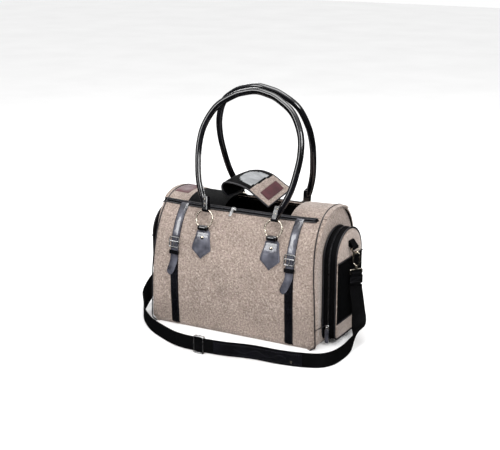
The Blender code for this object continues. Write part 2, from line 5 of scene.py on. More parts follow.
import bmesh
import bpy
from mathutils import Vector, noise
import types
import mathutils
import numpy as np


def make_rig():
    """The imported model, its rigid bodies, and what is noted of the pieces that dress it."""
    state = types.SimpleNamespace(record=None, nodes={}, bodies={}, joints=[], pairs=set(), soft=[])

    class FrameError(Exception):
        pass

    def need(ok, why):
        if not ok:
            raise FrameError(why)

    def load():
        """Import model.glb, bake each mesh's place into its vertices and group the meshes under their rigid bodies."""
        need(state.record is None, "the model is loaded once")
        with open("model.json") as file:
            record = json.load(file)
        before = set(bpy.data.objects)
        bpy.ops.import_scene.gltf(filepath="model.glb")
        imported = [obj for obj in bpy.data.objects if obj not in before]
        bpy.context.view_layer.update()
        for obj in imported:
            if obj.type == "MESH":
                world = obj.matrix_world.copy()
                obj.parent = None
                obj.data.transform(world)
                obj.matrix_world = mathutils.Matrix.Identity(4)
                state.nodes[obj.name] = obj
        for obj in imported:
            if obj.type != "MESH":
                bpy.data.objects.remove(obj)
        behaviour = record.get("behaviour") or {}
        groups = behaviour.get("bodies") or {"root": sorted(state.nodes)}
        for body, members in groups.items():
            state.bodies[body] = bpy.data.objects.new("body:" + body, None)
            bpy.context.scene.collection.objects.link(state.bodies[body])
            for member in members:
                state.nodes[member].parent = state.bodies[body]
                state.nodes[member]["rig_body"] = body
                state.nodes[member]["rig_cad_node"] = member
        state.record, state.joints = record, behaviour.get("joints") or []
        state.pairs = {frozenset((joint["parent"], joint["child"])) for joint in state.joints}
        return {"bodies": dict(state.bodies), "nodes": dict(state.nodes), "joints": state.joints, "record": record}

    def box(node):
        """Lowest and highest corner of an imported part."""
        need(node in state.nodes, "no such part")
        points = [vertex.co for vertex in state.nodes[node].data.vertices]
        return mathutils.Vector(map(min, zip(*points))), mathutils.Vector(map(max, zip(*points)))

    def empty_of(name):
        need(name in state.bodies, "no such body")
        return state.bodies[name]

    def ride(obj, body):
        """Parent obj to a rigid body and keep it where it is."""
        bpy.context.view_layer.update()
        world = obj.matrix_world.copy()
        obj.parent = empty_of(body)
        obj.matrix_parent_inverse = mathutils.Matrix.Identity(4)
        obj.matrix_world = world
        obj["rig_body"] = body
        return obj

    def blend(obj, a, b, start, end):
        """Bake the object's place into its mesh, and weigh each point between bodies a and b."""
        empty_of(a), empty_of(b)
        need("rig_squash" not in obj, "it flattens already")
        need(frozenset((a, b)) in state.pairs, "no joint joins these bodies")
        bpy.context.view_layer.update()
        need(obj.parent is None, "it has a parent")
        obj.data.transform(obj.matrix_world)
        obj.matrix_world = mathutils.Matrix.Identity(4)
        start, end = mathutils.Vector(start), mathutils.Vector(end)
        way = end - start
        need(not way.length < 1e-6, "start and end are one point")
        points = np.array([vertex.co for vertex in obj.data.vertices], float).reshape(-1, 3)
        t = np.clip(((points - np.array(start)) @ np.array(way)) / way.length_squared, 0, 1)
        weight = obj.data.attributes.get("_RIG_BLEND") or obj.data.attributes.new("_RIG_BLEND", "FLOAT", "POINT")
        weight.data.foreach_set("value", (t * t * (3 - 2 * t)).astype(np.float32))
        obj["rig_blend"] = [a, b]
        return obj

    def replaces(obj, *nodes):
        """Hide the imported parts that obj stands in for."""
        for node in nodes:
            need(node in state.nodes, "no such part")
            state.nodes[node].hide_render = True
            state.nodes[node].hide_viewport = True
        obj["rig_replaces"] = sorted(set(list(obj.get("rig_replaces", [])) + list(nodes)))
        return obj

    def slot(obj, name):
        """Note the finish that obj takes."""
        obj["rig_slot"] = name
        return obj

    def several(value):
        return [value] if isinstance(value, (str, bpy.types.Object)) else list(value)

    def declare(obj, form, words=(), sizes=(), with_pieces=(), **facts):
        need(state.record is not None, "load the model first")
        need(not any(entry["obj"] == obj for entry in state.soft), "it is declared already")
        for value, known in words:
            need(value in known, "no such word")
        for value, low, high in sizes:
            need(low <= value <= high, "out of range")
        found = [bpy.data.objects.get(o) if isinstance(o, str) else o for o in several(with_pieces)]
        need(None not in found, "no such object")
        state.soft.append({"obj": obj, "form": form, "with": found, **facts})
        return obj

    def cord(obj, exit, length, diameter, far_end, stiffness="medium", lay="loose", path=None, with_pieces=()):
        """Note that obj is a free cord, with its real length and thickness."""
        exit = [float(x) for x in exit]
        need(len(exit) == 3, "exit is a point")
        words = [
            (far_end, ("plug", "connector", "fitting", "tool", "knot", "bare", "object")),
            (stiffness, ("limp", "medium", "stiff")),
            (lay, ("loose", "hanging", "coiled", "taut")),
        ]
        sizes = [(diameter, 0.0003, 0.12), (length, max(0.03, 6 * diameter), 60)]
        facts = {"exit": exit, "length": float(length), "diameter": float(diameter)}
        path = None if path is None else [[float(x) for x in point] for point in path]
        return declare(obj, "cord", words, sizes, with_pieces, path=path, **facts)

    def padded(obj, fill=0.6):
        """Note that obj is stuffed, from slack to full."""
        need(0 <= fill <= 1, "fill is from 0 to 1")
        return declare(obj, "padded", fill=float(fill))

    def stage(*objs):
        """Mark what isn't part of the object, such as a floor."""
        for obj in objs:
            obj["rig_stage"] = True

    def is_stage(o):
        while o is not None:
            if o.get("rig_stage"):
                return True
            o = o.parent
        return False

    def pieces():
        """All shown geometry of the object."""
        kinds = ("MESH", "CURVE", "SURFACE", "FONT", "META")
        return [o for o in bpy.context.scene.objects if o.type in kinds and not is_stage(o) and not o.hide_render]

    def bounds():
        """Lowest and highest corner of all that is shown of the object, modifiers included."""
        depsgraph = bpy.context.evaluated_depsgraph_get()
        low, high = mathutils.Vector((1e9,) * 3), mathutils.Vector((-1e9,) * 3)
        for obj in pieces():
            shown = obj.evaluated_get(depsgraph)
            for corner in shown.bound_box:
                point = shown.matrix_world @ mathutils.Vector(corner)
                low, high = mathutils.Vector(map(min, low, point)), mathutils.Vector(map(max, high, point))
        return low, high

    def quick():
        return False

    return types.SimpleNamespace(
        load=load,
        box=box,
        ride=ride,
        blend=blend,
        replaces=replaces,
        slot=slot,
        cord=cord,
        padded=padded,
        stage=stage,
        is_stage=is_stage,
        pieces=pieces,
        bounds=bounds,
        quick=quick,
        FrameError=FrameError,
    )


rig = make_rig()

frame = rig.load()
cad_box = [list(corner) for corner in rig.bounds()]

# ---- sizes, from the frame ----------------------------------------------
END_LOW, END_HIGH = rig.box("right_end_panel")
LENGTH = 2 * END_HIGH[0]
WIDTH = END_HIGH[1] - END_LOW[1]
HEIGHT = END_HIGH[2]
SHOULDER_Z = 0.100
ROUNDNESS = 2.47
BORDER_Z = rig.box("front_panel")[1][2]
OPENING_HALF = 0.058
FLARE = ((0.0, 0.0100), (0.12, 0.0055), (0.22, -0.0020), (0.30, -0.0060))
CORNER_R = 0.014
BAND_END_X = 0.184
TEETH_COUNT = 150
OPENING = (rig.box("top_mesh_panel")[1][0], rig.box("top_right_strip")[0][0])
LEFT_STRIP_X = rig.box("top_left_strip")[1][0]
BELT_X = 0.1444
HANDLE_X = 0.086
HANDLE_SHIFT = {"front": 0.010, "back": 0.0}
HANDLE_TOP_Z = {"front": 0.533, "back": 0.539}
ARCH_SPREAD = {"front": 0.96, "back": 0.76}
BUCKLE_Z = 0.194
JOINTS = {joint["name"]: joint for joint in frame["joints"]}
SAG = 0.004
CLOTH_SPECULAR = 0.07
THREAD_R = 0.00035
RIGHT, UP = Vector((1, 0, 0)), Vector((0, 0, 1))
ENDS = ((-1, "left"), (1, "right"))
WALLS = ((-1, "front"), (1, "back"))
ROUND_TURNS = ((1, 1), (-1, 1), (-1, -1), (1, -1))


def joint_at(name):
    return Vector(JOINTS[name]["pos_m"])


# ---- materials ----------------------------------------------------------
class Wiring:
    """Short calls that add and join the nodes of one tree."""

    def __init__(self, tree):
        self.nodes, self.links = tree.nodes, tree.links
        self.where = None

    def add(self, kind, vector=None, **inputs):
        node = self.nodes.new("ShaderNode" + kind)
        for key, value in inputs.items():
            node.inputs[key].default_value = value
        if vector is not None:
            self.links.new(vector, node.inputs["Vector"])
        return node

    def feed(self, socket, value):
        if hasattr(value, "is_output"):
            self.links.new(value, socket)
        else:
            socket.default_value = value

    def noise(self, scale, detail=3.0, rough=0.55):
        return self.add("TexNoise", self.where, Scale=scale, Detail=detail, Roughness=rough).outputs["Fac"]

    def dots(self, scale, randomness=1.0):
        return self.add("TexVoronoi", self.where, Scale=scale, Randomness=randomness).outputs["Distance"]

    def ramp(self, value, *stops):
        node = self.add("ValToRGB")
        elements = node.color_ramp.elements
        elements[0].position, elements[0].color = stops[0]
        elements[1].position, elements[1].color = stops[-1]
        for position, color in stops[1:-1]:
            elements.new(position).color = color
        self.links.new(value, node.inputs["Fac"])
        return node.outputs["Color"]

    def mix(self, factor, first, second, mode="MIX"):
        node = self.add("Mix")
        node.data_type = "RGBA"
        node.blend_type = mode
        for socket, value in ((0, factor), (6, first), (7, second)):
            self.feed(node.inputs[socket], value)
        return node.outputs[2]

    def math(self, operation, *values):
        node = self.add("Math")
        node.operation = operation
        for socket, value in zip(node.inputs, values):
            self.feed(socket, value)
        return node.outputs[0]


class Surface(Wiring):
    """A Principled material whose textures follow the object's own coordinates."""

    def __init__(self, name, rough, metal=0.0):
        self.mat = bpy.data.materials.new(name)
        self.mat.use_nodes = True
        super().__init__(self.mat.node_tree)
        self.inputs = self.nodes["Principled BSDF"].inputs
        self.set("Roughness", rough)
        self.set("Metallic", metal)
        self.set("Specular IOR Level", CLOTH_SPECULAR if rough > 0.5 else 0.5)
        self.where = self.add("TexCoord").outputs["Object"]

    def set(self, name, value):
        self.feed(self.inputs[name], value)

    def bump(self, height, strength, distance):
        node = self.add("Bump", Strength=strength, Distance=distance)
        self.links.new(height, node.inputs["Height"])
        self.set("Normal", node.outputs["Normal"])


def grey(value):
    return (value, value, value, 1.0)


def shaded(color, factor):
    return tuple(c * factor for c in color[:3]) + (1.0,)


def make_tweed():
    cloth = Surface("tweed_cloth", 0.92)
    fibre, slub = cloth.noise(900.0, 2.0), cloth.noise(260.0, 4.0, 0.7)
    cloud, tint = cloth.noise(22.0), cloth.noise(120.0)
    base = cloth.ramp(slub, (0.30, (0.125, 0.093, 0.077, 1)), (0.46, (0.240, 0.190, 0.160, 1)),
                      (0.58, (0.330, 0.270, 0.234, 1)), (0.74, (0.540, 0.470, 0.420, 1)))
    rose = cloth.math("MULTIPLY", cloth.ramp(tint, (0.50, grey(0.0)), (0.72, grey(1.0))), 0.35)
    rosy = cloth.mix(rose, base, (0.31, 0.228, 0.220, 1))
    toned = cloth.mix(1.0, rosy, cloth.ramp(cloud, (0.30, grey(0.86)), (0.70, grey(1.06))), "MULTIPLY")
    speck = cloth.ramp(fibre, (0.30, grey(0.55)), (0.46, grey(1.0)))
    cloth.set("Base Color", cloth.mix(1.0, toned, speck, "MULTIPLY"))
    cloth.bump(cloth.math("ADD", fibre, slub), 0.55, 0.0012)
    cloth.set("Sheen Weight", 0.25)
    cloth.set("Sheen Roughness", 0.5)
    return cloth.mat


def make_patent(name, crinkle, dark=(0.001, 0.001, 0.0015, 1), light=(0.004, 0.004, 0.006, 1), patches=14.0):
    """Glossy leather: fine crinkles under a clear coat, with darker and lighter patches; in the grey-lavender kind,
    the base colour is painted reflection and the lighter patches are painted highlights.
    """
    hide = Surface(name, 0.22)
    soft = hide.noise(70.0, 3.0, 0.6)
    hide.set("Base Color", hide.ramp(hide.noise(patches, 2.0), (0.35, dark), (0.65, light)))
    hide.set("Roughness", hide.ramp(soft, (0.3, grey(0.10)), (0.7, grey(0.22))))
    hide.bump(soft, crinkle, 0.002)
    hide.set("Coat Weight", 1.0)
    hide.set("Coat Roughness", 0.05)
    return hide.mat


def make_weave(name, dark, light, scale, rough=0.8, strength=0.5):
    """A fine two-way weave: two crossing waves, with painted shade between the yarns."""
    cloth = Surface(name, rough)
    waves = []
    for direction in ("DIAGONAL", "Z"):
        node = cloth.add("TexWave", cloth.where, Scale=scale, Distortion=0.4)
        node.bands_direction = direction
        waves.append(node.outputs["Fac"])
    height = cloth.math("MULTIPLY", *waves)
    value = cloth.math("ADD", cloth.math("MULTIPLY", height, 0.7),
                       cloth.math("MULTIPLY", cloth.noise(60.0), 0.3))
    # base colour: painted shade in the low places between the yarns, mixed with random tone from the noise
    cloth.set("Base Color", cloth.ramp(value, (0.15, dark), (0.75, light)))
    cloth.bump(height, strength, 0.0006)
    return cloth.mat


def make_open_mesh(name, color, hole, scale=1.0):
    """Netting: round holes on a slanted grid let light through."""
    net = Surface(name, 0.6)
    distance = net.dots(520.0 * scale, 0.12)
    net.set("Alpha", net.ramp(distance, (hole - 0.04, grey(0.0)), (hole, grey(1.0))))
    net.set("Base Color", net.ramp(net.noise(40.0), (0.3, shaded(color, 0.6)), (0.7, color)))
    net.bump(distance, 0.5, 0.0006)
    return net.mat


def make_leather(name, dark, light, rough):
    hide = Surface(name, rough)
    drift = hide.noise(45.0, 4.0)
    hide.set("Base Color", hide.ramp(drift, (0.3, dark), (0.72, light)))
    hide.set("Roughness", hide.ramp(drift, (0.3, grey(rough - 0.1)), (0.7, grey(rough + 0.12))))
    hide.bump(hide.dots(420.0), 0.35, 0.0008)
    return hide.mat


def make_metal(name, tint, rough=0.2):
    metal = Surface(name, rough, 1.0)
    haze = metal.noise(180.0)
    metal.set("Base Color", metal.ramp(haze, (0.25, shaded(tint, 0.72)), (0.6, tint)))
    metal.set("Roughness", metal.ramp(haze, (0.3, grey(rough * 0.7)), (0.7, grey(rough * 1.6))))
    metal.bump(haze, 0.05, 0.0005)
    return metal.mat


def make_floor():
    floor = Surface("pale_floor", 0.9)
    floor.set("Base Color", floor.ramp(floor.noise(3.0), (0.3, grey(0.86)), (0.7, grey(0.90))))
    return floor.mat


TWEED = make_tweed()
PATENT = make_patent("patent_leather", 0.35)
PATENT_SMOOTH = make_patent("patent_smooth", 0.10)
# grey-lavender patent: its colour is painted reflection of the light above, and its lighter patches are painted
# highlights
PATENT_PAINTED_SHEEN = make_patent("patent_painted_sheen", 0.60, (0.028, 0.028, 0.036, 1), (0.105, 0.107, 0.132, 1), 34.0)
BLACK_YARN = (0.0004, 0.0004, 0.0006, 1)
NYLON = make_weave("black_nylon", BLACK_YARN, (0.004, 0.004, 0.005, 1), 420.0, 0.7)
WEBBING = make_weave("strap_webbing", BLACK_YARN, (0.005, 0.005, 0.006, 1), 260.0, 0.62, 0.8)
PIPING = make_leather("piping_cord", (0.006, 0.006, 0.008, 1), (0.016, 0.015, 0.018, 1), 0.38)
OXBLOOD = make_leather("dark_red_leather", (0.040, 0.010, 0.013, 1), (0.090, 0.024, 0.030, 1), 0.45)
NETTING = make_open_mesh("black_netting", (0.006, 0.006, 0.007, 1), 0.40, 0.8)
GREY_NET = make_open_mesh("grey_netting", (0.34, 0.35, 0.36, 1), 0.26)
LINING = make_weave("dark_lining", (0.003, 0.0028, 0.003, 1), (0.010, 0.009, 0.010, 1), 300.0)
METAL = make_metal("polished_nickel", (0.68, 0.62, 0.52, 1))
SILVER = make_metal("satin_silver", grey(0.60), 0.26)
THREAD = make_weave("black_thread", (0.010, 0.010, 0.012, 1), (0.055, 0.055, 0.062, 1), 900.0)
TEETH = make_metal("zip_teeth", (0.10, 0.10, 0.11, 1), 0.35)

SLOT_MATERIALS = {"tweed": TWEED, "black_fabric": NYLON, "lining": LINING, "mesh": NETTING,
                  "oxblood": OXBLOOD, "webbing": WEBBING, "patent": PATENT, "metal": METAL}


# ---- mesh helpers -------------------------------------------------------
def piece(name, bm, material, body="root", slot=None, smooth=40.0, replaces=()):
    """Make an object of a bmesh, riding on a body and standing for CAD nodes."""
    bmesh.ops.recalc_face_normals(bm, faces=bm.faces)
    mesh = bpy.data.meshes.new(name)
    bm.to_mesh(mesh)
    bm.free()
    for mat in (material if isinstance(material, list) else [material]):
        mesh.materials.append(mat)
    mesh.shade_smooth()
    mesh.set_sharp_from_angle(angle=math.radians(smooth))
    obj = bpy.data.objects.new(name, mesh)
    bpy.context.scene.collection.objects.link(obj)
    if body:
        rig.ride(obj, body)
    if slot:
        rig.slot(obj, slot)
    if replaces:
        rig.replaces(obj, *replaces)
    return obj


def middle_of(node):
    low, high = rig.box(node)
    return Vector([(a + b) / 2 for a, b in zip(low, high)])


def rows_of(rows, columns, point):
    """A grid of points: point(u, v, on_rim), with u along a row and v from row to row, 0 to 1."""
    return [[point(i / columns, j / rows, i in (0, columns) or j in (0, rows)) for i in range(columns + 1)]
            for j in range(rows + 1)]


def around(count, radius, first, second, centre=Vector()):
    """Points of a circle that starts along first and turns towards second."""
    return [centre + first * math.cos(math.tau * k / count) * radius
            + second * math.sin(math.tau * k / count) * radius for k in range(count)]


def rounded_loop(centre, across, up, half_a, half_b, corner, steps=5):
    """A rectangle with round corners."""
    points = []
    for turn, (sa, sb) in enumerate(ROUND_TURNS):
        for k in range(steps + 1):
            angle = math.pi / 2 * (turn + k / steps)
            points.append(centre + across * (sa * (half_a - corner) + corner * math.cos(angle))
                          + up * (sb * (half_b - corner) + corner * math.sin(angle)))
    return points


def grid(bm, rows):
    """Quads between rows of points; returns the vertices."""
    verts = [[bm.verts.new(p) for p in row] for row in rows]
    for row, following in zip(verts, verts[1:]):
        for i in range(len(row) - 1):
            bm.faces.new((row[i], row[i + 1], following[i + 1], following[i]))
    return verts


def slab(bm, top_rows, under_rows):
    """A closed thin body between two equal grids."""
    rims = []
    for rows in (top_rows, under_rows):
        verts = grid(bm, rows)
        rims.append(verts[0] + [row[-1] for row in verts[1:]] + verts[-1][-2::-1]
                    + [row[0] for row in verts[-2:0:-1]])
    top, under = rims
    for i in range(len(top)):
        j = (i + 1) % len(top)
        bm.faces.new((top[i], top[j], under[j], under[i]))


def slab_piece(name, top_rows, under_rows, *details, **more):
    bm = bmesh.new()
    slab(bm, top_rows, under_rows)
    return piece(name, bm, *details, **more)


def loft(bm, sections, closed=False):
    rings = [[bm.verts.new(p) for p in section] for section in sections]
    count = len(rings[0])
    pairs = list(zip(rings, rings[1:])) + ([(rings[-1], rings[0])] if closed else [])
    for ring, following in pairs:
        for i in range(count):
            j = (i + 1) % count
            bm.faces.new((ring[i], ring[j], following[j], following[i]))
    if not closed:
        bm.faces.new(rings[0])
        bm.faces.new(rings[-1][::-1])


def rod(bm, points, radius, sides=10, closed=False):
    """A round rod; radius may be a function of the way along."""
    points = [Vector(p) for p in points]
    count = len(points)
    sections = []
    normal = None
    for i, point in enumerate(points):
        before = points[i - 1] if (i or closed) else point
        after = points[(i + 1) % count] if (i < count - 1 or closed) else point
        tangent = (after - before).normalized()
        if normal is None:
            normal = tangent.orthogonal().normalized()
        normal = (normal - tangent * normal.dot(tangent)).normalized()
        side = tangent.cross(normal)
        size = radius(i / max(1, count - 1)) if callable(radius) else radius
        sections.append([point + (normal * math.cos(math.tau * k / sides)
                                  + side * math.sin(math.tau * k / sides)) * size for k in range(sides)])
    loft(bm, sections, closed)


def rod_piece(name, rods, material, body="root", slot="metal", **more):
    """One piece of one or more rods, each a tuple of rod's arguments."""
    bm = bmesh.new()
    for arguments in (rods if isinstance(rods, list) else [rods]):
        rod(bm, *arguments)
    return piece(name, bm, material, body, slot, **more)


def loft_piece(name, sections, closed, material, body="root", slot="metal", smooth=50, **more):
    bm = bmesh.new()
    loft(bm, sections, closed)
    return piece(name, bm, material, body, slot, smooth, **more)


def dome(size, flatness, floor):
    """Radius along a rivet's head, from its rim to its crown."""
    return lambda t: size * math.sqrt(max(floor, 1 - flatness * t * t))


def smooth_path(points, steps):
    """Points of a smooth curve through the given ones."""
    points = [Vector(p) for p in points]
    padded = [points[0] * 2 - points[1]] + points + [points[-1] * 2 - points[-2]]
    result = []
    for a, b, c, d in zip(padded, padded[1:], padded[2:], padded[3:]):
        for i in range(steps):
            t = i / steps
            result.append(0.5 * ((2 * b) + (c - a) * t + (2 * a - 5 * b + 4 * c - d) * t * t
                                 + (3 * b - a - 3 * c + d) * t * t * t))
    result.append(points[-1])
    return result


def rounded_plate(bm, centre, along, across, sizes, radius, bevel):
    """A plate with rounded corners and bevelled rims."""
    along, across = Vector(along), Vector(across)
    normal = along.cross(across).normalized()
    half_a, half_b, thick = (size / 2 for size in sizes)
    sections = []
    for height, inset in ((-thick, bevel), (-thick + bevel, 0.0), (thick - bevel, 0.0), (thick, bevel)):
        sections.append(rounded_loop(Vector(centre) + normal * height, along, across, half_a - inset,
                                     half_b - inset, radius - inset))
    loft(bm, sections)


def plate_piece(name, centre, across, sizes, radius, bevel, *details, rods=(), **more):
    """A rounded plate that lies along X, with any rods that belong to it."""
    bm = bmesh.new()
    rounded_plate(bm, centre, RIGHT, across, sizes, radius, bevel)
    for arguments in rods:
        rod(bm, *arguments)
    return piece(name, bm, *details, **more)


def stitches(name, path, body="root", spacing=0.0042, length=0.0026):
    """A row of short raised threads along a path of points."""
    bm = bmesh.new()
    path = [Vector(p) for p in path]
    marks = [0.0]
    for a, b in zip(path, path[1:]):
        marks.append(marks[-1] + (b - a).length)

    def along(distance):
        for a, b, start, stop in zip(path, path[1:], marks, marks[1:]):
            if start < stop and distance <= stop:
                return a.lerp(b, (distance - start) / (stop - start))
        return path[-1]

    for k in range(int((marks[-1] - length) / spacing) + 1):
        rod(bm, [along(k * spacing), along(k * spacing + length)], THREAD_R, 5)
    return piece(name, bm, THREAD, body, "patent")


# ---- the bag's skin -----------------------------------------------------
def bare_section(theta):
    power = 2 / ROUNDNESS
    theta = min(max(theta, 0.0), math.pi / 2)
    across = math.cos(theta) ** power if theta < math.pi / 2 - 1e-9 else 0.0
    return WIDTH / 2 * across, SHOULDER_Z + (HEIGHT - SHOULDER_Z) * math.sin(theta) ** power


def half_section():
    """Distance from the middle plane and height, from foot to crown: twenty steps up the wall, then even steps of
    angle over the shoulder, with the arc length at each point.
    """
    raw = [(WIDTH / 2, SHOULDER_Z * i / 20) for i in range(20)]
    raw += [bare_section(math.pi / 2 * i / 240) for i in range(241)]
    lengths = [0.0]
    for a, b in zip(raw, raw[1:]):
        lengths.append(lengths[-1] + math.hypot(b[0] - a[0], b[1] - a[1]))
    return raw, lengths


RAW, ARC = half_section()
CROWN = ARC[-1]


def at_arc(s):
    """Point and outward normal at an arc length from the foot; past the crown is the far side."""
    mirrored = s > CROWN
    s = 2 * CROWN - s if mirrored else s
    low, high = 0, len(ARC) - 1
    while high - low > 1:
        middle = (low + high) // 2
        low, high = (middle, high) if ARC[middle] <= s else (low, middle)
    span = ARC[high] - ARC[low]
    t = (s - ARC[low]) / span
    y = RAW[low][0] * (1 - t) + RAW[high][0] * t
    z = RAW[low][1] * (1 - t) + RAW[high][1] * t
    before, after = RAW[max(0, low - 3)], RAW[min(len(RAW) - 1, high + 3)]
    run = Vector((after[0] - before[0], after[1] - before[1])).normalized()
    out = Vector((run.y, -run.x))
    if mirrored:
        return -y, z, Vector((-out.x, out.y))
    return y, z, out


def arc_at_height(z):
    for i, point in enumerate(RAW):
        if point[1] >= z:
            return ARC[i]
    return CROWN


def arc_at_depth(y):
    for i, point in enumerate(RAW):
        if point[0] <= y:
            return ARC[i]
    return CROWN


def between(ends, share):
    return ends[0] + (ends[1] - ends[0]) * share


def smoothstep(low, high, value):
    t = min(max((value - low) / (high - low), 0.0), 1.0)
    return t * t * (3 - 2 * t)


def half_at(z):
    """Half length of the bag at a height: it flares towards the foot, whose corners are round."""
    z = max(z, 0.0)
    flare = FLARE[-1][1]
    for (low, a), (high, b) in zip(FLARE, FLARE[1:]):
        if z <= high:
            flare = a + (b - a) * (z - low) / (high - low)
            break
    corner = CORNER_R - math.sqrt(CORNER_R ** 2 - (CORNER_R - z) ** 2) if z < CORNER_R else 0.0
    return LENGTH / 2 + flare - corner


def end_reach(x, z):
    """How far a place near the bag's end moves out with the flare of that end."""
    return math.copysign((half_at(z) - LENGTH / 2) * smoothstep(0.76, 1.0, along_bag(x)), x)


def along_bag(x):
    return min(1.0, abs(2 * x / LENGTH))


def skin(x, s, lift=0.0, side=-1):
    """A point of the bag's soft surface; s runs from the foot of the front or back wall."""
    y, z, out = at_arc(s)
    along = along_bag(x)
    x += end_reach(x, z)
    free = 1 - along ** 4
    wall = smoothstep(0.02, 0.09, s) * (1 - smoothstep(0.19, 0.25, s))
    swell = 0.0030 * wall * free
    crease = noise.noise(Vector((x * 9, s * 11, side * 3.0))) * 0.0016 * smoothstep(0.0, 0.04, s) * free
    crease *= 1 - smoothstep(0.20, 0.26, s)
    tuck = -0.0045 * smoothstep(0.93, 1.0, along) ** 2 - 0.0055 * (1 - smoothstep(0.0, 0.014, s)) ** 2
    height = lift + swell + crease + tuck
    z_sag = -SAG * free * smoothstep(0.235, 0.275, z)
    return Vector((x, side * (y + out.x * height), z + out.y * height + z_sag))


def skin_slab(name, x_range, s_range, lifts, columns, rows, side, **more):
    """A tweed panel on the skin between two lifts, lined on its inner face."""
    def lay(lift):
        return rows_of(rows, columns,
                       lambda u, v, _: skin(between(x_range, u), between(s_range, v), lift, side))
    return line_inside(slab_piece(name, lay(lifts[1]), lay(lifts[0]), TWEED, "root", "tweed", **more))


def line_inside(obj):
    """Dark lining on the faces that look into the bag."""
    obj.data.materials.append(LINING)
    for polygon in obj.data.polygons:
        outward = polygon.center - Vector((polygon.center.x, 0, 0.15))
        if polygon.normal.dot(outward.normalized()) < -0.35:
            polygon.material_index = 1
    return obj


def make_shell():
    border = arc_at_height(BORDER_Z)
    lip = arc_at_depth(OPENING_HALF)
    half = LENGTH / 2 - 0.0012
    for side, word in WALLS:
        skin_slab(word + "_wall", (-half, half), (0.0, border), (-0.0035, 0.0), 90, 60, side,
                  replaces=(word + "_panel",))
        skin_slab(word + "_band_backing", (-half, half), (border, lip), (-0.003, 0.0003), 60, 8, side)
        round_band(word, side, (border - 0.0008, lip + 0.0006))
        for k, (s, size) in enumerate(((border + 0.0004, 0.0013), (lip - 0.0006, 0.0012))):
            path = [skin(between((-half, BAND_END_X - 0.004), i / 60), s, 0.0016, side) for i in range(61)]
            rod_piece("{}_band_cord_{}".format(word, k), (path, size, 8), PIPING, slot="black_fabric")
        s = (border + lip) / 2 + 0.001
        teeth = []
        for i in range(TEETH_COUNT):
            x = between((0.010 - half, BAND_END_X - 0.008), i / (TEETH_COUNT - 1))
            teeth.append(([skin(x, s - 0.0016, 0.0021, side), skin(x, s + 0.0016, 0.0021, side)], 0.00075, 5))
        rod_piece(word + "_zip_teeth", teeth, TEETH)
    make_deck(half, lip + 0.001)


def round_band(word, side, s_range):
    """The zip's black band, rounded off at its right end."""
    x_range = (0.0012 - LENGTH / 2, BAND_END_X)
    middle, reach = sum(s_range) / 2, (s_range[1] - s_range[0]) / 2

    def lay(lift, rim):
        def point(u, v, on_rim):
            x = between(x_range, u)
            left = max(0.0, 1 - (BAND_END_X - x) / (reach * 1.1))
            share = math.sqrt(max(0.02, 1 - left ** 2))
            return skin(x, middle + (2 * v - 1) * reach * share, lift - (rim if on_rim else 0.0), side)
        return rows_of(8, 90, point)
    slab_piece(word + "_zip_band", lay(0.0018, 0.0012), lay(0.0002, 0.0), NYLON, "root", "black_fabric",
               replaces=("top_" + word + "_band",))


def deck_slab(name, node, x_range, start, material, slot, lifts, edge=0.0, columns=10):
    """A panel across the top of the bag, from one arc length to its mirror image."""
    def lay(lift, rim):
        def point(u, v, on_rim):
            x = between(x_range, u)
            y, z, out = at_arc(between((start, 2 * CROWN - start), v))
            level = lift - (rim if on_rim else 0.0)
            drop = -SAG * (1 - along_bag(x) ** 4) * smoothstep(0.235, 0.275, z)
            return Vector((x + end_reach(x, z), -y - out.x * level, z + out.y * level + drop))
        return rows_of(24, columns, point)
    slab_piece(name, lay(lifts[1], edge), lay(lifts[0], 0.0), material, "root", slot, replaces=(node,))


def make_deck(half, lip):
    strip = (lip, TWEED, "tweed", (-0.003, 0.0012), 0.001)
    deck_slab("left_top_tweed", "top_left_strip", (-half, LEFT_STRIP_X), *strip)
    deck_slab("right_top_tweed", "top_right_strip", (OPENING[1], half), *strip)
    deck_slab("top_net", "top_mesh_panel", (LEFT_STRIP_X, OPENING[0]), lip, NYLON, "mesh", (-0.002, 0.0))
    low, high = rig.box("top_patch")
    deck_slab("dark_red_patch", "top_patch", (low[0], high[0]), arc_at_depth(high[1]), OXBLOOD, "oxblood",
              (0.0012, 0.0026), 0.0008, 6)


def end_outline(count, inset):
    """Points round an end panel from the front foot over the top to the back foot."""
    points = []
    for i in range(count + 1):
        y, z, out = at_arc(2 * CROWN * i / count)
        points.append((-(y - out.x * inset), z - out.y * inset))
    return points


LOW_SEAM_Z = 0.047
END_DOME = ((1.0, -0.0025), (0.985, -0.0006), (0.95, 0.0008), (0.88, 0.0016), (0.78, 0.0016),
            (0.66, 0.0004), (0.5, 0.0), (0.25, 0.0))


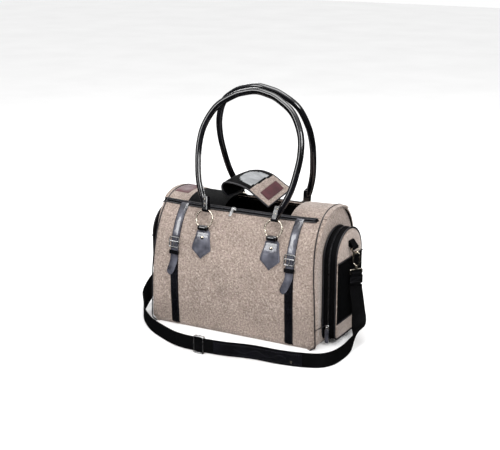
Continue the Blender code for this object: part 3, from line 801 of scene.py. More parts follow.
def make_ends():
    rim = end_outline(56, 0.0006)
    loop = rim + [(between((rim[-1][0], rim[0][0]), i / 14), 0.0012) for i in range(1, 14)]
    middle_z = HEIGHT * 0.46
    for sign, word in ENDS:
        rings = []
        for share, bulge in END_DOME:
            ring = []
            for y, z in loop:
                level = middle_z + (z - middle_z) * share
                settled = smoothstep(0.60, 0.92, share)
                ripple = noise.noise(Vector((y * share * 14, level * 14, sign * 5.0))) * 0.0016 * settled
                reach = LENGTH / 2 + (half_at(z) - LENGTH / 2) * settled
                x = reach - 0.0010 + bulge + ripple * (1 - share ** 8)
                ring.append(Vector((sign * x, y * share, level)))
            rings.append(ring)
        back = [Vector((p.x - sign * 0.004, p.y * 0.99, p.z)) for p in rings[0]]
        loft_piece(word + "_end_wall", [back] + rings, False, TWEED, slot="tweed", smooth=60,
                   replaces=(word + "_end_panel",))
        path = [Vector((sign * (half_at(z) - 0.0010), y, z)) for y, z in end_outline(110, -0.0004)]
        rod_piece(word + "_piping", (path, 0.0013, 8), PIPING, slot="patent")
        seam = []
        reach = WIDTH / 2 - 0.001
        for i in range(61):
            y = reach * (i / 30 - 1)
            x = half_at(LOW_SEAM_Z) - 0.0002 - 0.0036 * smoothstep(0.05, 0.11, reach - abs(y))
            seam.append(Vector((sign * x, y, LOW_SEAM_Z - 0.004 * smoothstep(0.0, 0.05, reach - abs(y)))))
        rod_piece(word + "_low_seam", (seam, 0.0011, 6), PIPING, slot="patent")


def make_base():
    low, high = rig.box("bottom_panel")
    plate_piece("base_cloth", (0, 0, 0.0022), (0, 1, 0), (high[0] - low[0], WIDTH - 0.012, 0.0044), 0.012,
                0.0012, NYLON, "root", "black_fabric", replaces=("bottom_panel",))
    low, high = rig.box("base_board")
    plate_piece("stiff_board", (0, 0, (low[2] + high[2]) / 2 + 0.0003), (0, 1, 0),
                (high[0] - low[0], high[1] - low[1], 0.0036), 0.012, 0.0008, LINING, "root", "lining",
                replaces=("base_board",))


def relax_pad(obj, cap):
    """Inflate a pad with cloth pressure, keep every point within cap of its start."""
    bpy.context.view_layer.objects.active = obj
    cloth = obj.modifiers.new("cloth", "CLOTH")
    cloth.settings.use_pressure = True
    cloth.settings.uniform_pressure_force = 3.0
    cloth.settings.effector_weights.gravity = 0.0
    start = [v.co.copy() for v in obj.data.vertices]
    scene = bpy.context.scene
    for number in range(1, 16):
        scene.frame_set(number)
    evaluated = obj.evaluated_get(bpy.context.evaluated_depsgraph_get())
    moved = [v.co.copy() for v in evaluated.data.vertices]
    obj.modifiers.remove(cloth)
    scene.frame_set(1)
    for vertex, home, new in zip(obj.data.vertices, start, moved):
        shift = new - home
        if shift.length > cap:
            shift = shift.normalized() * cap
        vertex.co = home + shift


def make_pad():
    low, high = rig.box("floor_pad")
    middle = middle_of("floor_pad")
    inset = 0.004

    def lay(z_side):
        def point(across, deep, _):
            u, v = 2 * across - 1, 2 * deep - 1
            full = (1 - abs(u) ** 8) * (1 - abs(v) ** 8)
            quilt = 0.0016 * abs(math.sin(u * math.pi * 3)) * abs(math.sin(v * math.pi * 2)) * full
            z = middle.z + z_side * ((high[2] - low[2]) / 2 - 0.0034) * (0.2 + 0.8 * full)
            z += quilt if z_side > 0 else 0.0
            return Vector((middle.x + u * ((high[0] - low[0]) / 2 - inset),
                           middle.y + v * ((high[1] - low[1]) / 2 - inset), z))
        return rows_of(26, 44, point)
    pad = slab_piece("soft_pad", lay(1), lay(-1), LINING, None, "lining")
    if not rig.quick():
        relax_pad(pad, 0.0026)
    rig.ride(pad, "root")
    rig.replaces(pad, "floor_pad")
    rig.padded(pad, fill=0.5)


# ---- belts --------------------------------------------------------------
def belt_strip(name, node, x, s_range, half, lifts, material, tip=0.0, rows=70, lean=0.0):
    """A narrow strap up the front; tip is the length over which its lower end comes to a point, and
    lean is how far its loose lower end swings to one side."""
    def lay(lift, rim):
        def point(across, v, on_rim):
            s, u = between(s_range, v), 2 * across - 1
            from_tip = s - s_range[0]
            width = half
            if tip and from_tip < tip:
                width = half * math.sqrt(max(0.04, 1 - (1 - from_tip / tip) ** 2))
            loose = (1 - smoothstep(0.0, 0.040, from_tip)) if tip else 0.0
            crown = 0.0007 * (1 - u * u) + 0.0020 * loose
            ripple = noise.noise(Vector((x * 40 + u, s * 60, 2.0))) * 0.0005
            return skin(x + lean * loose + u * width, s, lift + crown + ripple - (rim if on_rim else 0.0))
        return rows_of(rows, 8, point)
    slab_piece(name, lay(lifts[1], 0.0009), lay(lifts[0], 0.0), material, "root", "patent", 55,
               replaces=(node,))


def skin_frame(x, s, lift, side=-1):
    """Point, up along the wall and outward normal."""
    point = skin(x, s, lift, side)
    up = (skin(x, s + 0.003, lift, side) - skin(x, s - 0.003, lift, side)).normalized()
    out = up.cross(RIGHT) if side < 0 else RIGHT.cross(up)
    out = out.normalized()
    if out.y * side < 0:
        out = -out
    return point, up, out


BELT_HALF = 0.0100
BELT_SEAM = 0.0078
BELT_LEAN = {"left": -0.009, "right": -0.012}
KEEPER_Z = (0.1675, 0.1760)
KEEPER_HALF = 0.0122


def make_belts():
    border = arc_at_height(BORDER_Z)
    for sign, word in ENDS:
        x = sign * BELT_X
        belt_strip(word + "_belt_strap", word + "_belt", x, (0.004, border + 0.004), BELT_HALF,
                   (0.0002, 0.0016), PATENT)
        low_s = arc_at_height(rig.box(word + "_belt_tip")[0][2])
        # the belt's end takes the grey-lavender patent, whose colour is painted reflection
        belt_strip(word + "_belt_end", word + "_belt_tip", x, (low_s, border + 0.005), BELT_HALF - 0.0006,
                   (0.0020, 0.0036), PATENT_PAINTED_SHEEN, 0.012, 44, BELT_LEAN[word])
        for edge, letter in ((-1, "a"), (1, "b")):
            for name, s_range, lift in (("belt", (low_s + 0.046, border - 0.004), 0.0040),
                                        ("strap", (0.010, low_s - 0.010), 0.0021)):
                path = [skin(x + edge * BELT_SEAM, between(s_range, i / 60), lift) for i in range(61)]
                stitches("{}_{}_seam_{}".format(word, name, letter), path)
        make_buckle(word, x)
        levels = tuple(arc_at_height(z) for z in KEEPER_Z)

        def strip(lift):
            return [[skin(x + u * KEEPER_HALF, between(levels, j / 4), lift - 0.0018 * abs(u) ** 6)
                     for u in (-1, -0.9, -0.6, -0.3, 0, 0.3, 0.6, 0.9, 1)] for j in range(5)]
        slab_piece(word + "_keeper_loop", strip(0.0060), strip(0.0042), PATENT, "root", "patent",
                   replaces=(word + "_keeper",))
        holes = []
        for k in range(5):
            point, _, out = skin_frame(x, low_s + 0.016 + 0.012 * k, 0.0039)
            holes.append(([point - out * 0.0006, point + out * 0.0003], 0.0012, 10))
        rod_piece(word + "_belt_holes", holes, PIPING)


def make_buckle(word, x):
    centre, up, out = skin_frame(x, arc_at_height(BUCKLE_Z), 0.0058)
    width, height = 0.0120, 0.0112
    rim = rounded_loop(centre, RIGHT, up, width, height, 0.0030)
    rod_piece(word + "_buckle_frame", (rim, 0.0014, 8, True), SILVER, replaces=(word + "_buckle",))
    bar = centre + up * 0.002
    prong = [bar + out * 0.0004, centre - up * 0.004 + out * 0.0014, centre - up * height + out * 0.0012]
    rods = [([bar - RIGHT * width, bar + RIGHT * width], 0.0010, 8), (prong, 0.0009, 8)]
    rod_piece(word + "_buckle_prong", rods, SILVER)


# ---- handles ------------------------------------------------------------
HANDLE_ARCH = ((0.0, 0.000), (0.010, 0.07), (0.028, 0.22), (0.037, 0.37), (0.041, 0.53),
               (0.034, 0.69), (0.008, 0.85), (-0.032, 0.95), (-0.060, 0.985), (-0.086, 1.0))
HANDLE_TOP_Y = 0.012
RING_R = 0.0205


def make_handles():
    for side, word in WALLS:
        loop = joint_at(word + "_rings_swing")
        base = joint_at(word + "_handle_swing")
        crown = Vector((0, side * HANDLE_TOP_Y, HANDLE_TOP_Z[word]))
        rise = (crown - base).normalized()
        lean = (base - loop).normalized()
        for sign, hand in ENDS:
            x = sign * HANDLE_X + HANDLE_SHIFT[word]
            foot = Vector((x, loop.y, loop.z))
            name = "{}_{}".format(word, hand)
            ring = around(56, RING_R, -lean, RIGHT, foot + lean * RING_R)
            rod_piece(name + "_o_ring", (ring, 0.0019, 10, True), METAL, word + "_rings",
                      replaces=(name + "_ring",))
            make_anchor(side, name, x, foot)
        make_grip(word, base, crown, rise)
        for sign, hand in ENDS:
            eye = Vector((sign * HANDLE_X + HANDLE_SHIFT[word], base.y, base.z))
            make_handle_end("{}_{}".format(word, hand), word + "_grip", side, sign, eye, rise)


def make_grip(word, base, crown, rise):
    """The tubular handle and the raised seam on its inner side."""
    leg = []
    for widen, share in HANDLE_ARCH:
        point = base.lerp(crown, share)
        point.x = HANDLE_X + (widen * ARCH_SPREAD[word] if widen > 0 else widen)
        leg.append(point)
    leg[0] = leg[0] + (leg[1] - leg[0]).normalized() * 0.007
    left = [Vector((-p.x, p.y, p.z)) for p in leg]
    shift = Vector((HANDLE_SHIFT[word], 0, 0))
    path = [point + shift for point in smooth_path(left + leg[-2::-1], 8)]

    def girth(t):
        return 0.0046 + 0.0024 * smoothstep(0.015, 0.075, min(t, 1 - t))
    rod_piece(word + "_handle_tube", (path, girth, 18), PATENT_SMOOTH, word + "_grip", "patent",
              replaces=(word + "_handle",))
    plane = rise.cross(RIGHT).normalized()
    seam = []
    for i, point in enumerate(path[8:-8]):
        inward = (path[i + 9] - path[i + 7]).normalized().cross(plane).normalized()
        if inward.dot(Vector((HANDLE_SHIFT[word], 0, 0.42)) - point) < 0:
            inward = -inward
        seam.append(point + inward * girth((i + 8) / len(path)) * 1.01)
    rod_piece(word + "_handle_seam", (seam, 0.0011, 6), PATENT, word + "_grip", "patent")


def make_handle_end(name, body, side, sign, eye, rise):
    """The leather sleeve that wraps the ring and closes on the tube, with two rivets."""
    up = Vector((sign * 0.18, rise.y, rise.z)).normalized()
    out = RIGHT.cross(up).normalized()
    out = out if out.y * side > 0 else -out
    half, reach = 0.0078, 0.030
    section = []
    for radius, spread, order in ((0.0058, 0.9, 1), (0.0038, 0.4, -1)):
        wrap = []
        for k in range(15):
            angle = math.radians(200) * (k / 14 - 0.5) + math.pi
            wrap.append(up * math.cos(angle) * radius + out * math.sin(angle) * radius)
        tips = [up * reach + out * wrap[k].dot(out) * spread for k in (0, -1)]
        section += ([tips[0]] + wrap + [tips[1]])[::order]
    cuts = []
    for u in (-1, -0.85, -0.4, 0, 0.4, 0.85, 1):
        shrink = 1.0 if abs(u) < 0.99 else 0.93
        cuts.append([eye + RIGHT * u * half + p * shrink for p in section])
    loft_piece(name + "_handle_end", cuts, False, PATENT, body, "patent")
    rivets = []
    for level in (0.013, 0.023):
        spot = eye + up * level + out * 0.0052
        rivets.append(([spot - out * 0.0008, spot + out * 0.0006, spot + out * 0.0013],
                       lambda t: 0.0019 * (1 - 0.45 * t * t), 12))
    rod_piece(name + "_end_rivets", rivets, METAL, body)


ANCHOR_Z = (0.166, 0.186, 0.2290)       # point, widest place, neck
ANCHOR_HALF = 0.0235
ANCHOR_SEAM = ((0.0, 0.0032), (0.0200, 0.0205), (0.0140, 0.0530), (-0.0140, 0.0530), (-0.0200, 0.0205),
               (0.0, 0.0032))
LOOP_HALF = 0.0115


def make_anchor(side, name, x, foot):
    """The stitched pentagon, the loop that holds the ring, and the rivet."""
    low_s, mid_s, high_s = (arc_at_height(z) for z in ANCHOR_Z)

    def point(across, v, on_rim, lift, rim, puff):
        s = between((low_s, high_s), v)
        half = ANCHOR_HALF - 0.0065 * smoothstep(mid_s, high_s - 0.008, s)
        if s < mid_s:
            half = max(0.0010, ANCHOR_HALF * (s - low_s) / (mid_s - low_s))
        neck = smoothstep(high_s - 0.007, high_s, s)
        half -= 0.0055 * neck
        return skin(x + (2 * across - 1) * half, s, lift - (rim if on_rim else 0.0) + puff * neck, side)

    top = rows_of(30, 12, lambda u, v, on_rim: point(u, v, on_rim, 0.0032, 0.0010, 0.0022))
    under = rows_of(30, 12, lambda u, v, on_rim: point(u, v, on_rim, 0.0003, 0.0, 0.0))
    # the anchor patch takes the grey-lavender patent, whose colour is painted reflection
    slab_piece(name + "_anchor_patch", top, under, PATENT_PAINTED_SHEEN, "root", "patent", 50,
               replaces=(name + "_anchor",))
    outline = []
    for t in range(41):
        place = t / 40 * (len(ANCHOR_SEAM) - 1)
        k = min(int(place), len(ANCHOR_SEAM) - 2)
        across, rise = (between(pair, place - k) for pair in zip(ANCHOR_SEAM[k], ANCHOR_SEAM[k + 1]))
        outline.append(skin(x + across, low_s + rise, 0.0034, side))
    stitches(name + "_anchor_seam", outline, spacing=0.0034, length=0.0021)
    _, up, out = skin_frame(x, high_s, 0.0, side)
    sections = []
    for u in (-1, -0.85, -0.4, 0, 0.4, 0.85, 1):
        radius = 0.0062 if abs(u) < 0.99 else 0.0054
        sections.append(around(28, radius, up * 1.05, out, foot + RIGHT * u * LOOP_HALF))
    for u in (1, 0.4, -0.4, -1):
        sections.append(around(28, 0.0042, up, out, foot + RIGHT * u * LOOP_HALF))
    loft_piece(name + "_anchor_loop", sections, True, PATENT, slot="patent")
    spot, _, out = skin_frame(x, arc_at_height(0.2115), 0.0034, side)
    rod_piece(name + "_anchor_rivet", ([spot + out * level for level in (-0.001, 0.0004, 0.0012, 0.0017)],
                                       dome(0.0042, 0.8, 0.05), 18), METAL)


# ---- top flap -----------------------------------------------------------
FLAP_HALF = 0.0535
WINDOW_HALF = 0.038
FLAP_STEPS = 8


def flap_curve():
    """Smooth run of the flap from its root over the crest to its free end."""
    root, bend, tip = (joint_at(name) for name in ("flap_root_fold", "flap_bend", "flap_tip_bend"))
    slope = math.radians(-35.0)
    along = Vector((math.cos(slope), 0, math.sin(slope)))
    knots = [root, root + Vector((-0.0085, 0, 0.0130)), root + Vector((-0.0105, 0, 0.0260)),
             bend + Vector((0.0035, 0, 0.0010)), bend.lerp(tip, 0.32) + Vector((0, 0, 0.0052)),
             bend.lerp(tip, 0.66) + Vector((0, 0, 0.0048)), tip + Vector((-0.0008, 0, -0.0012)),
             tip + along * 0.020, tip + along * 0.041, tip + along * 0.0595]
    return smooth_path(knots, FLAP_STEPS)


def make_flap():
    path = flap_curve()
    count = len(path)
    bend, tip = joint_at("flap_bend"), joint_at("flap_tip_bend")
    normals = []
    for i in range(count):
        tangent = (path[min(i + 1, count - 1)] - path[max(i - 1, 0)]).normalized()
        normals.append(Vector((-tangent.z, 0, tangent.x)))
    cuts = {"lower": (0, 12), "bend": (12, 34), "crest": (34, 56), "tip": (56, count - 1)}
    strip_from, window = 51, (31, 49)

    def flap_point(i, v, lift):
        """v runs across the flap; its near edge hangs a little lower towards the free end."""
        t = i / (count - 1)
        width = FLAP_HALF * (1 - 0.10 * (1 - smoothstep(0.0, 0.10, t)))
        sway = 0.0080 * (v - 0.4) * smoothstep(0.20, 0.80, t)
        wave = 0.0012 * noise.noise(Vector((t * 6, v * 1.5, 4.0)))
        droop = 0.0030 * abs(v) ** 3 * math.sin(math.pi * t)
        return path[i] + Vector((0, v * width, sway)) + normals[i] * (lift + wave - droop)

    def attach(obj, part):
        if part in ("bend", "crest"):
            bodies = ("flap_root", "flap_middle") if part == "bend" else ("flap_middle", "flap_end")
            at = bend if part == "bend" else tip
            index = min(range(2, count - 2), key=lambda i: (path[i] - at).length)
            direction = (path[index + 2] - path[index - 2]).normalized()
            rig.blend(obj, bodies[0], bodies[1], start=tuple(at - direction * 0.010),
                     end=tuple(at + direction * 0.010))
        else:
            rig.ride(obj, "flap_root" if part == "lower" else "flap_end")

    stand_for = {"lower": ("flap_root_panel",), "bend": ("flap_window_frame", "flap_mesh"),
                 "tip": ("flap_end_panel",)}
    columns = 28
    for part, (start, stop) in cuts.items():
        def lay(lift, rim):
            return [[flap_point(i, 2 * k / columns - 1, lift - (rim if k in (0, columns) else 0.0))
                     for k in range(columns + 1)] for i in range(start, stop + 1)]
        panel = slab_piece("flap_" + part, lay(0.0012, 0.0006), lay(-0.0012, 0.0), [NYLON, TWEED, GREY_NET],
                           None, "black_fabric")
        for polygon in panel.data.polygons:
            corners = [panel.data.vertices[i].co for i in polygon.vertices]
            middle = sum(corners, Vector()) / len(corners)
            index = min(range(count), key=lambda i: (path[i] - Vector((middle.x, 0, middle.z))).length)
            arch = 0.018 * math.sqrt(max(0.0, 1 - (middle.y / WINDOW_HALF) ** 2))
            if index >= strip_from:
                polygon.material_index = 1
            elif abs(middle.y) < WINDOW_HALF and window[0] + 12 * (1 - arch / 0.018) < index < window[1]:
                polygon.material_index = 2
        attach(panel, part)
        if part in stand_for:
            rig.replaces(panel, *stand_for[part])
        for side, letter in ((-1, "a"), (1, "b")):
            edge = [flap_point(i, side, 0.0) for i in range(start, stop + 1)]
            attach(rod_piece("flap_{}_binding_{}".format(part, letter), (edge, 0.0021, 8), PIPING, None,
                             "black_fabric"), part)
    for name, i, body in (("flap_end_binding", count - 1, "flap_end"), ("flap_root_binding", 0, "flap_root")):
        rod_piece(name, ([flap_point(i, 2 * k / 20 - 1, 0.0) for k in range(21)], 0.0018, 8), PIPING, body,
                  "black_fabric")
    spread = (-0.68, -0.4, -0.2, 0, 0.2, 0.4, 0.68)
    top, under = ([[flap_point(i, v, lift) for v in spread] for i in range(strip_from + 6, count - 5)]
                  for lift in (0.0024, 0.0012))
    slab_piece("flap_red_patch", top, under, OXBLOOD, "flap_end", "oxblood", replaces=("flap_patch",))


# ---- end pockets --------------------------------------------------------
POCKET_HALF = 0.066
POCKET_Z = (0.012, 0.190, 0.250)


def pocket_outline(inset, arc_steps=36, corner=0.014):
    """The arch, from the middle of the foot round and back, with rounded lower corners."""
    half = POCKET_HALF - inset
    low, spring, high = POCKET_Z[0] + inset, POCKET_Z[1], POCKET_Z[2] - inset
    corner = max(0.004, corner - inset)
    points = [(half * k / 6 * (1 - corner / half), low) for k in range(0, 6)]
    for k in range(7):
        angle = -math.pi / 2 + math.pi / 2 * k / 6
        points.append((half - corner + corner * math.cos(angle), low + corner + corner * math.sin(angle)))
    for k in range(1, 14):
        points.append((half, low + corner + (spring - low - corner) * k / 14))
    for k in range(arc_steps + 1):
        angle = math.pi * k / arc_steps
        points.append((half * math.cos(angle), spring + (high - spring) * math.sin(angle)))
    mirrored = [(-y, z) for y, z in points[1:26]][::-1]
    return points + mirrored


FACE_DOME = ((1.0, -0.0040), (0.985, -0.0012), (0.95, 0.0), (0.85, 0.0008), (0.6, 0.0014), (0.3, 0.0016))
FACE_MIDDLE_Z = 0.125


def make_pockets():
    base_x, face_x = LENGTH / 2 + 0.0010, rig.box("right_pocket_face")[1][0]
    gusset = ((base_x, 0.0035), (base_x, 0.0008), (base_x + 0.006, -0.0004), (base_x + 0.014, 0.0004),
              (base_x + 0.0146, 0.0012), (base_x + 0.0154, 0.0012), (base_x + 0.016, 0.0004),
              (face_x - 0.008, 0.0), (face_x - 0.002, 0.0006), (face_x - 0.002, 0.0035))
    for sign, word in ENDS:
        def ring(depth, inset):
            return [Vector((sign * depth, y, z)) for y, z in pocket_outline(inset)]
        loft_piece(word + "_gusset", [ring(*place) for place in gusset], True, NYLON, slot="black_fabric",
                   replaces=(word + "_pocket_gusset",))
        rings = []
        for share, bulge in FACE_DOME:
            rings.append([Vector((sign * (face_x + bulge), y * share,
                                  FACE_MIDDLE_Z + (z - FACE_MIDDLE_Z) * share))
                          for y, z in pocket_outline(0.0006)])
        back = [Vector((sign * (face_x - 0.006), p.y, p.z)) for p in rings[0]]
        loft_piece(word + "_face_tweed", [back] + rings, False, TWEED, slot="tweed", smooth=60,
                   replaces=(word + "_pocket_face",))
        for name, x, inset in (("face", face_x - 0.0022, -0.0006), ("base", base_x + 0.0012, -0.0012)):
            rod_piece("{}_pocket_cord_{}".format(word, name), (ring(x, inset), 0.0019, 8, True), PIPING,
                      slot="patent")
        make_pocket_zip(sign, word, base_x)
        make_pocket_window(sign, word, face_x)


def make_pocket_zip(sign, word, base_x):
    teeth = []
    outline = pocket_outline(-0.0010)
    for a, b in zip(outline, outline[1:] + outline[:1]):
        count = max(1, round(math.hypot(b[0] - a[0], b[1] - a[1]) / 0.0032))
        for k in range(count):
            y, z = (between(ends, k / count) for ends in zip(a, b))
            teeth.append(([(sign * (base_x + 0.0132), y, z), (sign * (base_x + 0.0168), y, z)], 0.0008, 5))
    rod_piece(word + "_pocket_zip", teeth, TEETH)


def make_pocket_window(sign, word, face_x):
    low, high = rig.box(word + "_pocket_window")
    half = POCKET_HALF - 0.0035

    def top(u, v, on_rim):
        y, z = (2 * u - 1) * half, between((low[2], high[2]), v)
        dent = 0.0006 * noise.noise(Vector((y * 30, z * 30, 1.0)))
        return Vector((sign * (face_x + 0.0026 - (0.0006 if on_rim else 0.0) + dent), y, z))

    def under(u, v, _):
        return Vector((sign * (face_x + 0.0006), (2 * u - 1) * half, between((low[2], high[2]), v)))
    slab_piece(word + "_window_net", rows_of(16, 12, top), rows_of(16, 12, under), NYLON, "root", "mesh",
               replaces=(word + "_pocket_window",))
    for level, z in (("low", low[2]), ("high", high[2])):
        cord = [(sign * (face_x + 0.0022), (2 * k / 16 - 1) * (POCKET_HALF - 0.002), z) for k in range(17)]
        rod_piece("{}_window_cord_{}".format(word, level), (cord, 0.0016, 8), PIPING, slot="patent")


# ---- hooks and D-rings --------------------------------------------------
WEB_SIDE = Vector((0.60, 0.80, 0.0))
WEB_HALF = 0.016


def make_end_hardware():
    for sign, word in ENDS:
        hinge = joint_at(word + "_dring_swing")
        seat = joint_at(word + "_hook_swing")
        radius = (seat - hinge).length
        down = (seat - hinge).normalized()
        loop = [hinge + Vector((0, radius * (1 - 2 * i / 8), 0)) for i in range(9)]
        for i in range(1, 28):
            angle = math.pi * i / 28
            loop.append(hinge - Vector((0, radius * math.cos(angle), 0)) + down * radius * math.sin(angle))
        rod_piece(word + "_d_ring", (loop, 0.0019, 10, True), METAL, word + "_ring_loop",
                  replaces=(word + "_dring",))
        make_tab(sign, word, hinge)
        make_hook(sign, word, seat)


def across_cuts(section, side, places):
    """The same section at several places along a direction."""
    return [[p + side * place for p in section] for place in places]


def make_tab(sign, word, hinge):
    """The webbing tab and the loop in which the D-ring turns."""
    face_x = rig.box("right_pocket_face")[1][0]

    def spot(out, rise):
        return Vector((sign * (face_x + out), 0, hinge.z + rise))

    def wrap(radius):
        angles = [math.radians(60 - 260 * k / 16) for k in range(17)]
        return [Vector((sign * math.cos(a), 0, math.sin(a))) * radius + hinge for a in angles]
    front, back = spot(0.0042, 0.016), spot(0.0006, 0.016)
    outer = [front] + wrap(0.0050) + [spot(0.0006, 0.004), back]
    inner = [front.lerp(back, 0.35)] + wrap(0.0034) + [spot(0.0020, 0.006), front.lerp(back, 0.65)]
    depth = Vector((0, 1, 0))
    cuts = across_cuts(outer, depth, (-0.0115, -0.0108, 0.0, 0.0108, 0.0115))
    cuts += across_cuts(inner, depth, (0.0115, 0.0, -0.0115))
    loft_piece(word + "_tab_loop", cuts, True, WEBBING, slot="webbing", replaces=(word + "_dring_tab",))


HOOK_STEM = ((0.0, 0.0024), (0.001, 0.0036), (0.003, 0.0036), (0.0034, 0.0026), (0.005, 0.0026),
             (0.0054, 0.0038), (0.0084, 0.0038), (0.0094, 0.0030))


def make_hook(sign, word, seat):
    """The snap hook with its stem and eye, the gate, and the strap's end."""
    gate_foot = joint_at(word + "_gate_snap")
    gate_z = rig.box(word + "_hook_gate")[1][2]
    reach = abs(gate_foot.x - seat.x)
    low_z = gate_foot.z - 0.0008
    path = [Vector((gate_foot.x, 0, gate_z + 0.0006))]
    for turn, level in ((1, seat.z - 0.0028), (-1, low_z)):
        for i in range(19):
            angle = math.pi * i / 18
            path.append(Vector((seat.x + turn * sign * reach * math.cos(angle), 0,
                                level + turn * reach * math.sin(angle))))
    bm = bmesh.new()
    rod(bm, path, lambda t: 0.0016 + 0.0004 * math.sin(math.pi * t), 10)
    stem_top = low_z - reach + 0.0008
    loft(bm, [around(18, size, RIGHT, Vector((0, 1, 0)), Vector((seat.x, 0, stem_top - drop)))
              for drop, size in HOOK_STEM])
    side = WEB_SIDE * sign
    eye_top, eye_low = stem_top - 0.0098, stem_top - 0.0190
    corners = [Vector((seat.x, 0, z)) + side * s * 0.0150 for s, z in
               ((-1, eye_top), (1, eye_top), (1, eye_low), (-1, eye_low))]
    eye = []
    for i, corner in enumerate(corners):
        before, after = corners[i - 1], corners[(i + 1) % 4]
        a = corner.lerp(before, 0.003 / (corner - before).length)
        b = corner.lerp(after, 0.003 / (corner - after).length)
        for k in range(5):
            t = k / 4
            eye.append(a.lerp(corner, t).lerp(corner.lerp(b, t), t))
    rod(bm, eye, 0.0017, 10, closed=True)
    piece(word + "_hook_metal", bm, METAL, word + "_hook", "metal", 50, replaces=(word + "_snap_hook",))
    rise = Vector((gate_foot.x, 0, gate_z - 0.0002)) - gate_foot
    gate = [gate_foot + rise * t for t in (0.0, 0.1, 0.5, 0.9, 1.0)]
    rod_piece(word + "_gate_rod", (gate, lambda t: 0.0014 + 0.0004 * math.sin(math.pi * t), 10), METAL,
              word + "_gate", replaces=(word + "_hook_gate",))
    make_strap_end(word, seat, side, eye_low)


def make_strap_end(word, seat, side, eye_low):
    """Webbing folded round the hook's eye and stitched."""
    face = side.cross(UP).normalized()
    low_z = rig.box(word + "_strap_end")[0][2]
    centre = Vector((seat.x, 0, eye_low))
    foot = Vector((seat.x, 0, low_z))
    waist = foot.lerp(centre, 0.75)
    sections = []
    for radius, low, high in ((0.0042, 0.0025, 0.0026), (0.0024, 0.0002, 0.0004)):
        wrap = []
        for k in range(15):
            angle = math.pi * k / 14
            wrap.append(centre + (face * math.cos(angle) + UP * math.sin(angle)) * radius)
        sections.append([foot + face * low, waist + face * high] + wrap
                        + [waist - face * high, foot - face * low])

    def cut(section, u):
        return [p + side * u * (0.0125 if p.z > eye_low - 0.004 else WEB_HALF) for p in section]
    cuts = [cut(sections[0], u) for u in (-1.0, -0.97, 0.0, 0.97, 1.0)]
    cuts += [cut(sections[1], u) for u in (1.0, 0.0, -1.0)]
    loft_piece(word + "_stitched_end", cuts, True, WEBBING, word + "_hook", "webbing",
               replaces=(word + "_strap_end",))
    middle_z = (low_z + eye_low) / 2 - 0.001
    for row, face_side in enumerate((1, -1)):
        path = [Vector((seat.x, 0, middle_z)) + side * a + Vector((0, 0, b)) + face * 0.0029 * face_side
                for a, b in ((-0.015, -0.006), (0.015, -0.006), (0.015, 0.004), (-0.015, 0.004),
                             (-0.015, -0.006), (0.015, 0.004))]
        stitches("{}_end_stitch_{}".format(word, row), path, word + "_hook", 0.0030, 0.0020)


# ---- zips ---------------------------------------------------------------
def make_sliders():
    centre = middle_of("top_zip_slider")
    up, out = Vector((0, 0.766, 0.643)), Vector((0, -0.643, 0.766))
    bridge = [centre + up * 0.001 + out * 0.0015, centre + out * 0.0042, centre - up * 0.003 + out * 0.0028]
    plate_piece("top_slider_body", centre + out * 0.0002, up, (0.0120, 0.0082, 0.0034), 0.0024, 0.0010,
                SILVER, "top_slider", "metal", rods=[(bridge, 0.0008, 8)], replaces=("top_zip_slider",))
    plate_piece("top_pull_tag", joint_at("top_pull_lift") - up * 0.0100 + out * 0.0012, up,
                (0.0066, 0.0205, 0.0015), 0.0026, 0.0005, SILVER, "top_pull", "metal",
                replaces=("top_zip_pull",))
    centre = middle_of("end_zip_slider")
    bridge = [centre + Vector(p) for p in ((0, -0.0012, 0.003), (0, -0.0040, 0.001), (0, -0.0034, -0.0035))]
    plate_piece("end_slider_body", centre, UP, (0.0086, 0.0124, 0.0036), 0.0026, 0.0010, SILVER, "end_slider",
                "metal", rods=[(bridge, 0.0008, 8)], replaces=("end_zip_slider",))
    low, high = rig.box("end_zip_pull")
    # the end pull's tag takes the same patent, with painted reflection in its colour
    plate_piece("end_pull_tag", middle_of("end_zip_pull"), UP, (high[0] - low[0], high[2] - low[2], 0.0019),
                0.0030, 0.0006, PATENT_PAINTED_SHEEN, "end_pull", "patent", replaces=("end_zip_pull",))


# ---- shoulder strap -----------------------------------------------------
ON_EDGE = UP
STRAP_ROUTE = (
    ((0.2500, 0.0000, 0.1240), WEB_SIDE),
    ((0.2500, 0.0000, 0.1170), WEB_SIDE),
    ((0.2545, -0.0015, 0.0950), WEB_SIDE),
    ((0.2600, -0.0045, 0.0700), WEB_SIDE),
    ((0.2655, -0.0140, 0.0440), Vector((0.72, 0.50, 0.48))),
    ((0.2715, -0.0420, 0.0240), Vector((0.35, 0.22, 0.91))),
    ((0.2765, -0.0850, 0.0172), ON_EDGE),
    ((0.2785, -0.1280, 0.0167), ON_EDGE),
    ((0.2735, -0.1660, 0.0167), ON_EDGE),
    ((0.2560, -0.1920, 0.0167), ON_EDGE),
    ((0.2220, -0.2060, 0.0167), ON_EDGE),
    ((0.1740, -0.2145, 0.0167), ON_EDGE),
    ((0.1120, -0.2235, 0.0196), ON_EDGE),
    ((0.0500, -0.2360, 0.0196), ON_EDGE),
    ((-0.0070, -0.2400, 0.0196), ON_EDGE),
    ((-0.0620, -0.2360, 0.0196), ON_EDGE),
    ((-0.1140, -0.2100, 0.0167), ON_EDGE),
    ((-0.1660, -0.1800, 0.0167), ON_EDGE),
    ((-0.2120, -0.1390, 0.0172), ON_EDGE),
    ((-0.2440, -0.0960, 0.0190), ON_EDGE),
    ((-0.2640, -0.0560, 0.0280), Vector((-0.35, -0.22, 0.91))),
    ((-0.2690, -0.0200, 0.0460), Vector((-0.70, -0.45, 0.55))),
    ((-0.2600, -0.0045, 0.0700), -WEB_SIDE),
    ((-0.2545, -0.0015, 0.0950), -WEB_SIDE),
    ((-0.2500, 0.0000, 0.1170), -WEB_SIDE),
    ((-0.2500, 0.0000, 0.1240), -WEB_SIDE),
)
WEB_THICK = 0.0022
STEPS = 8
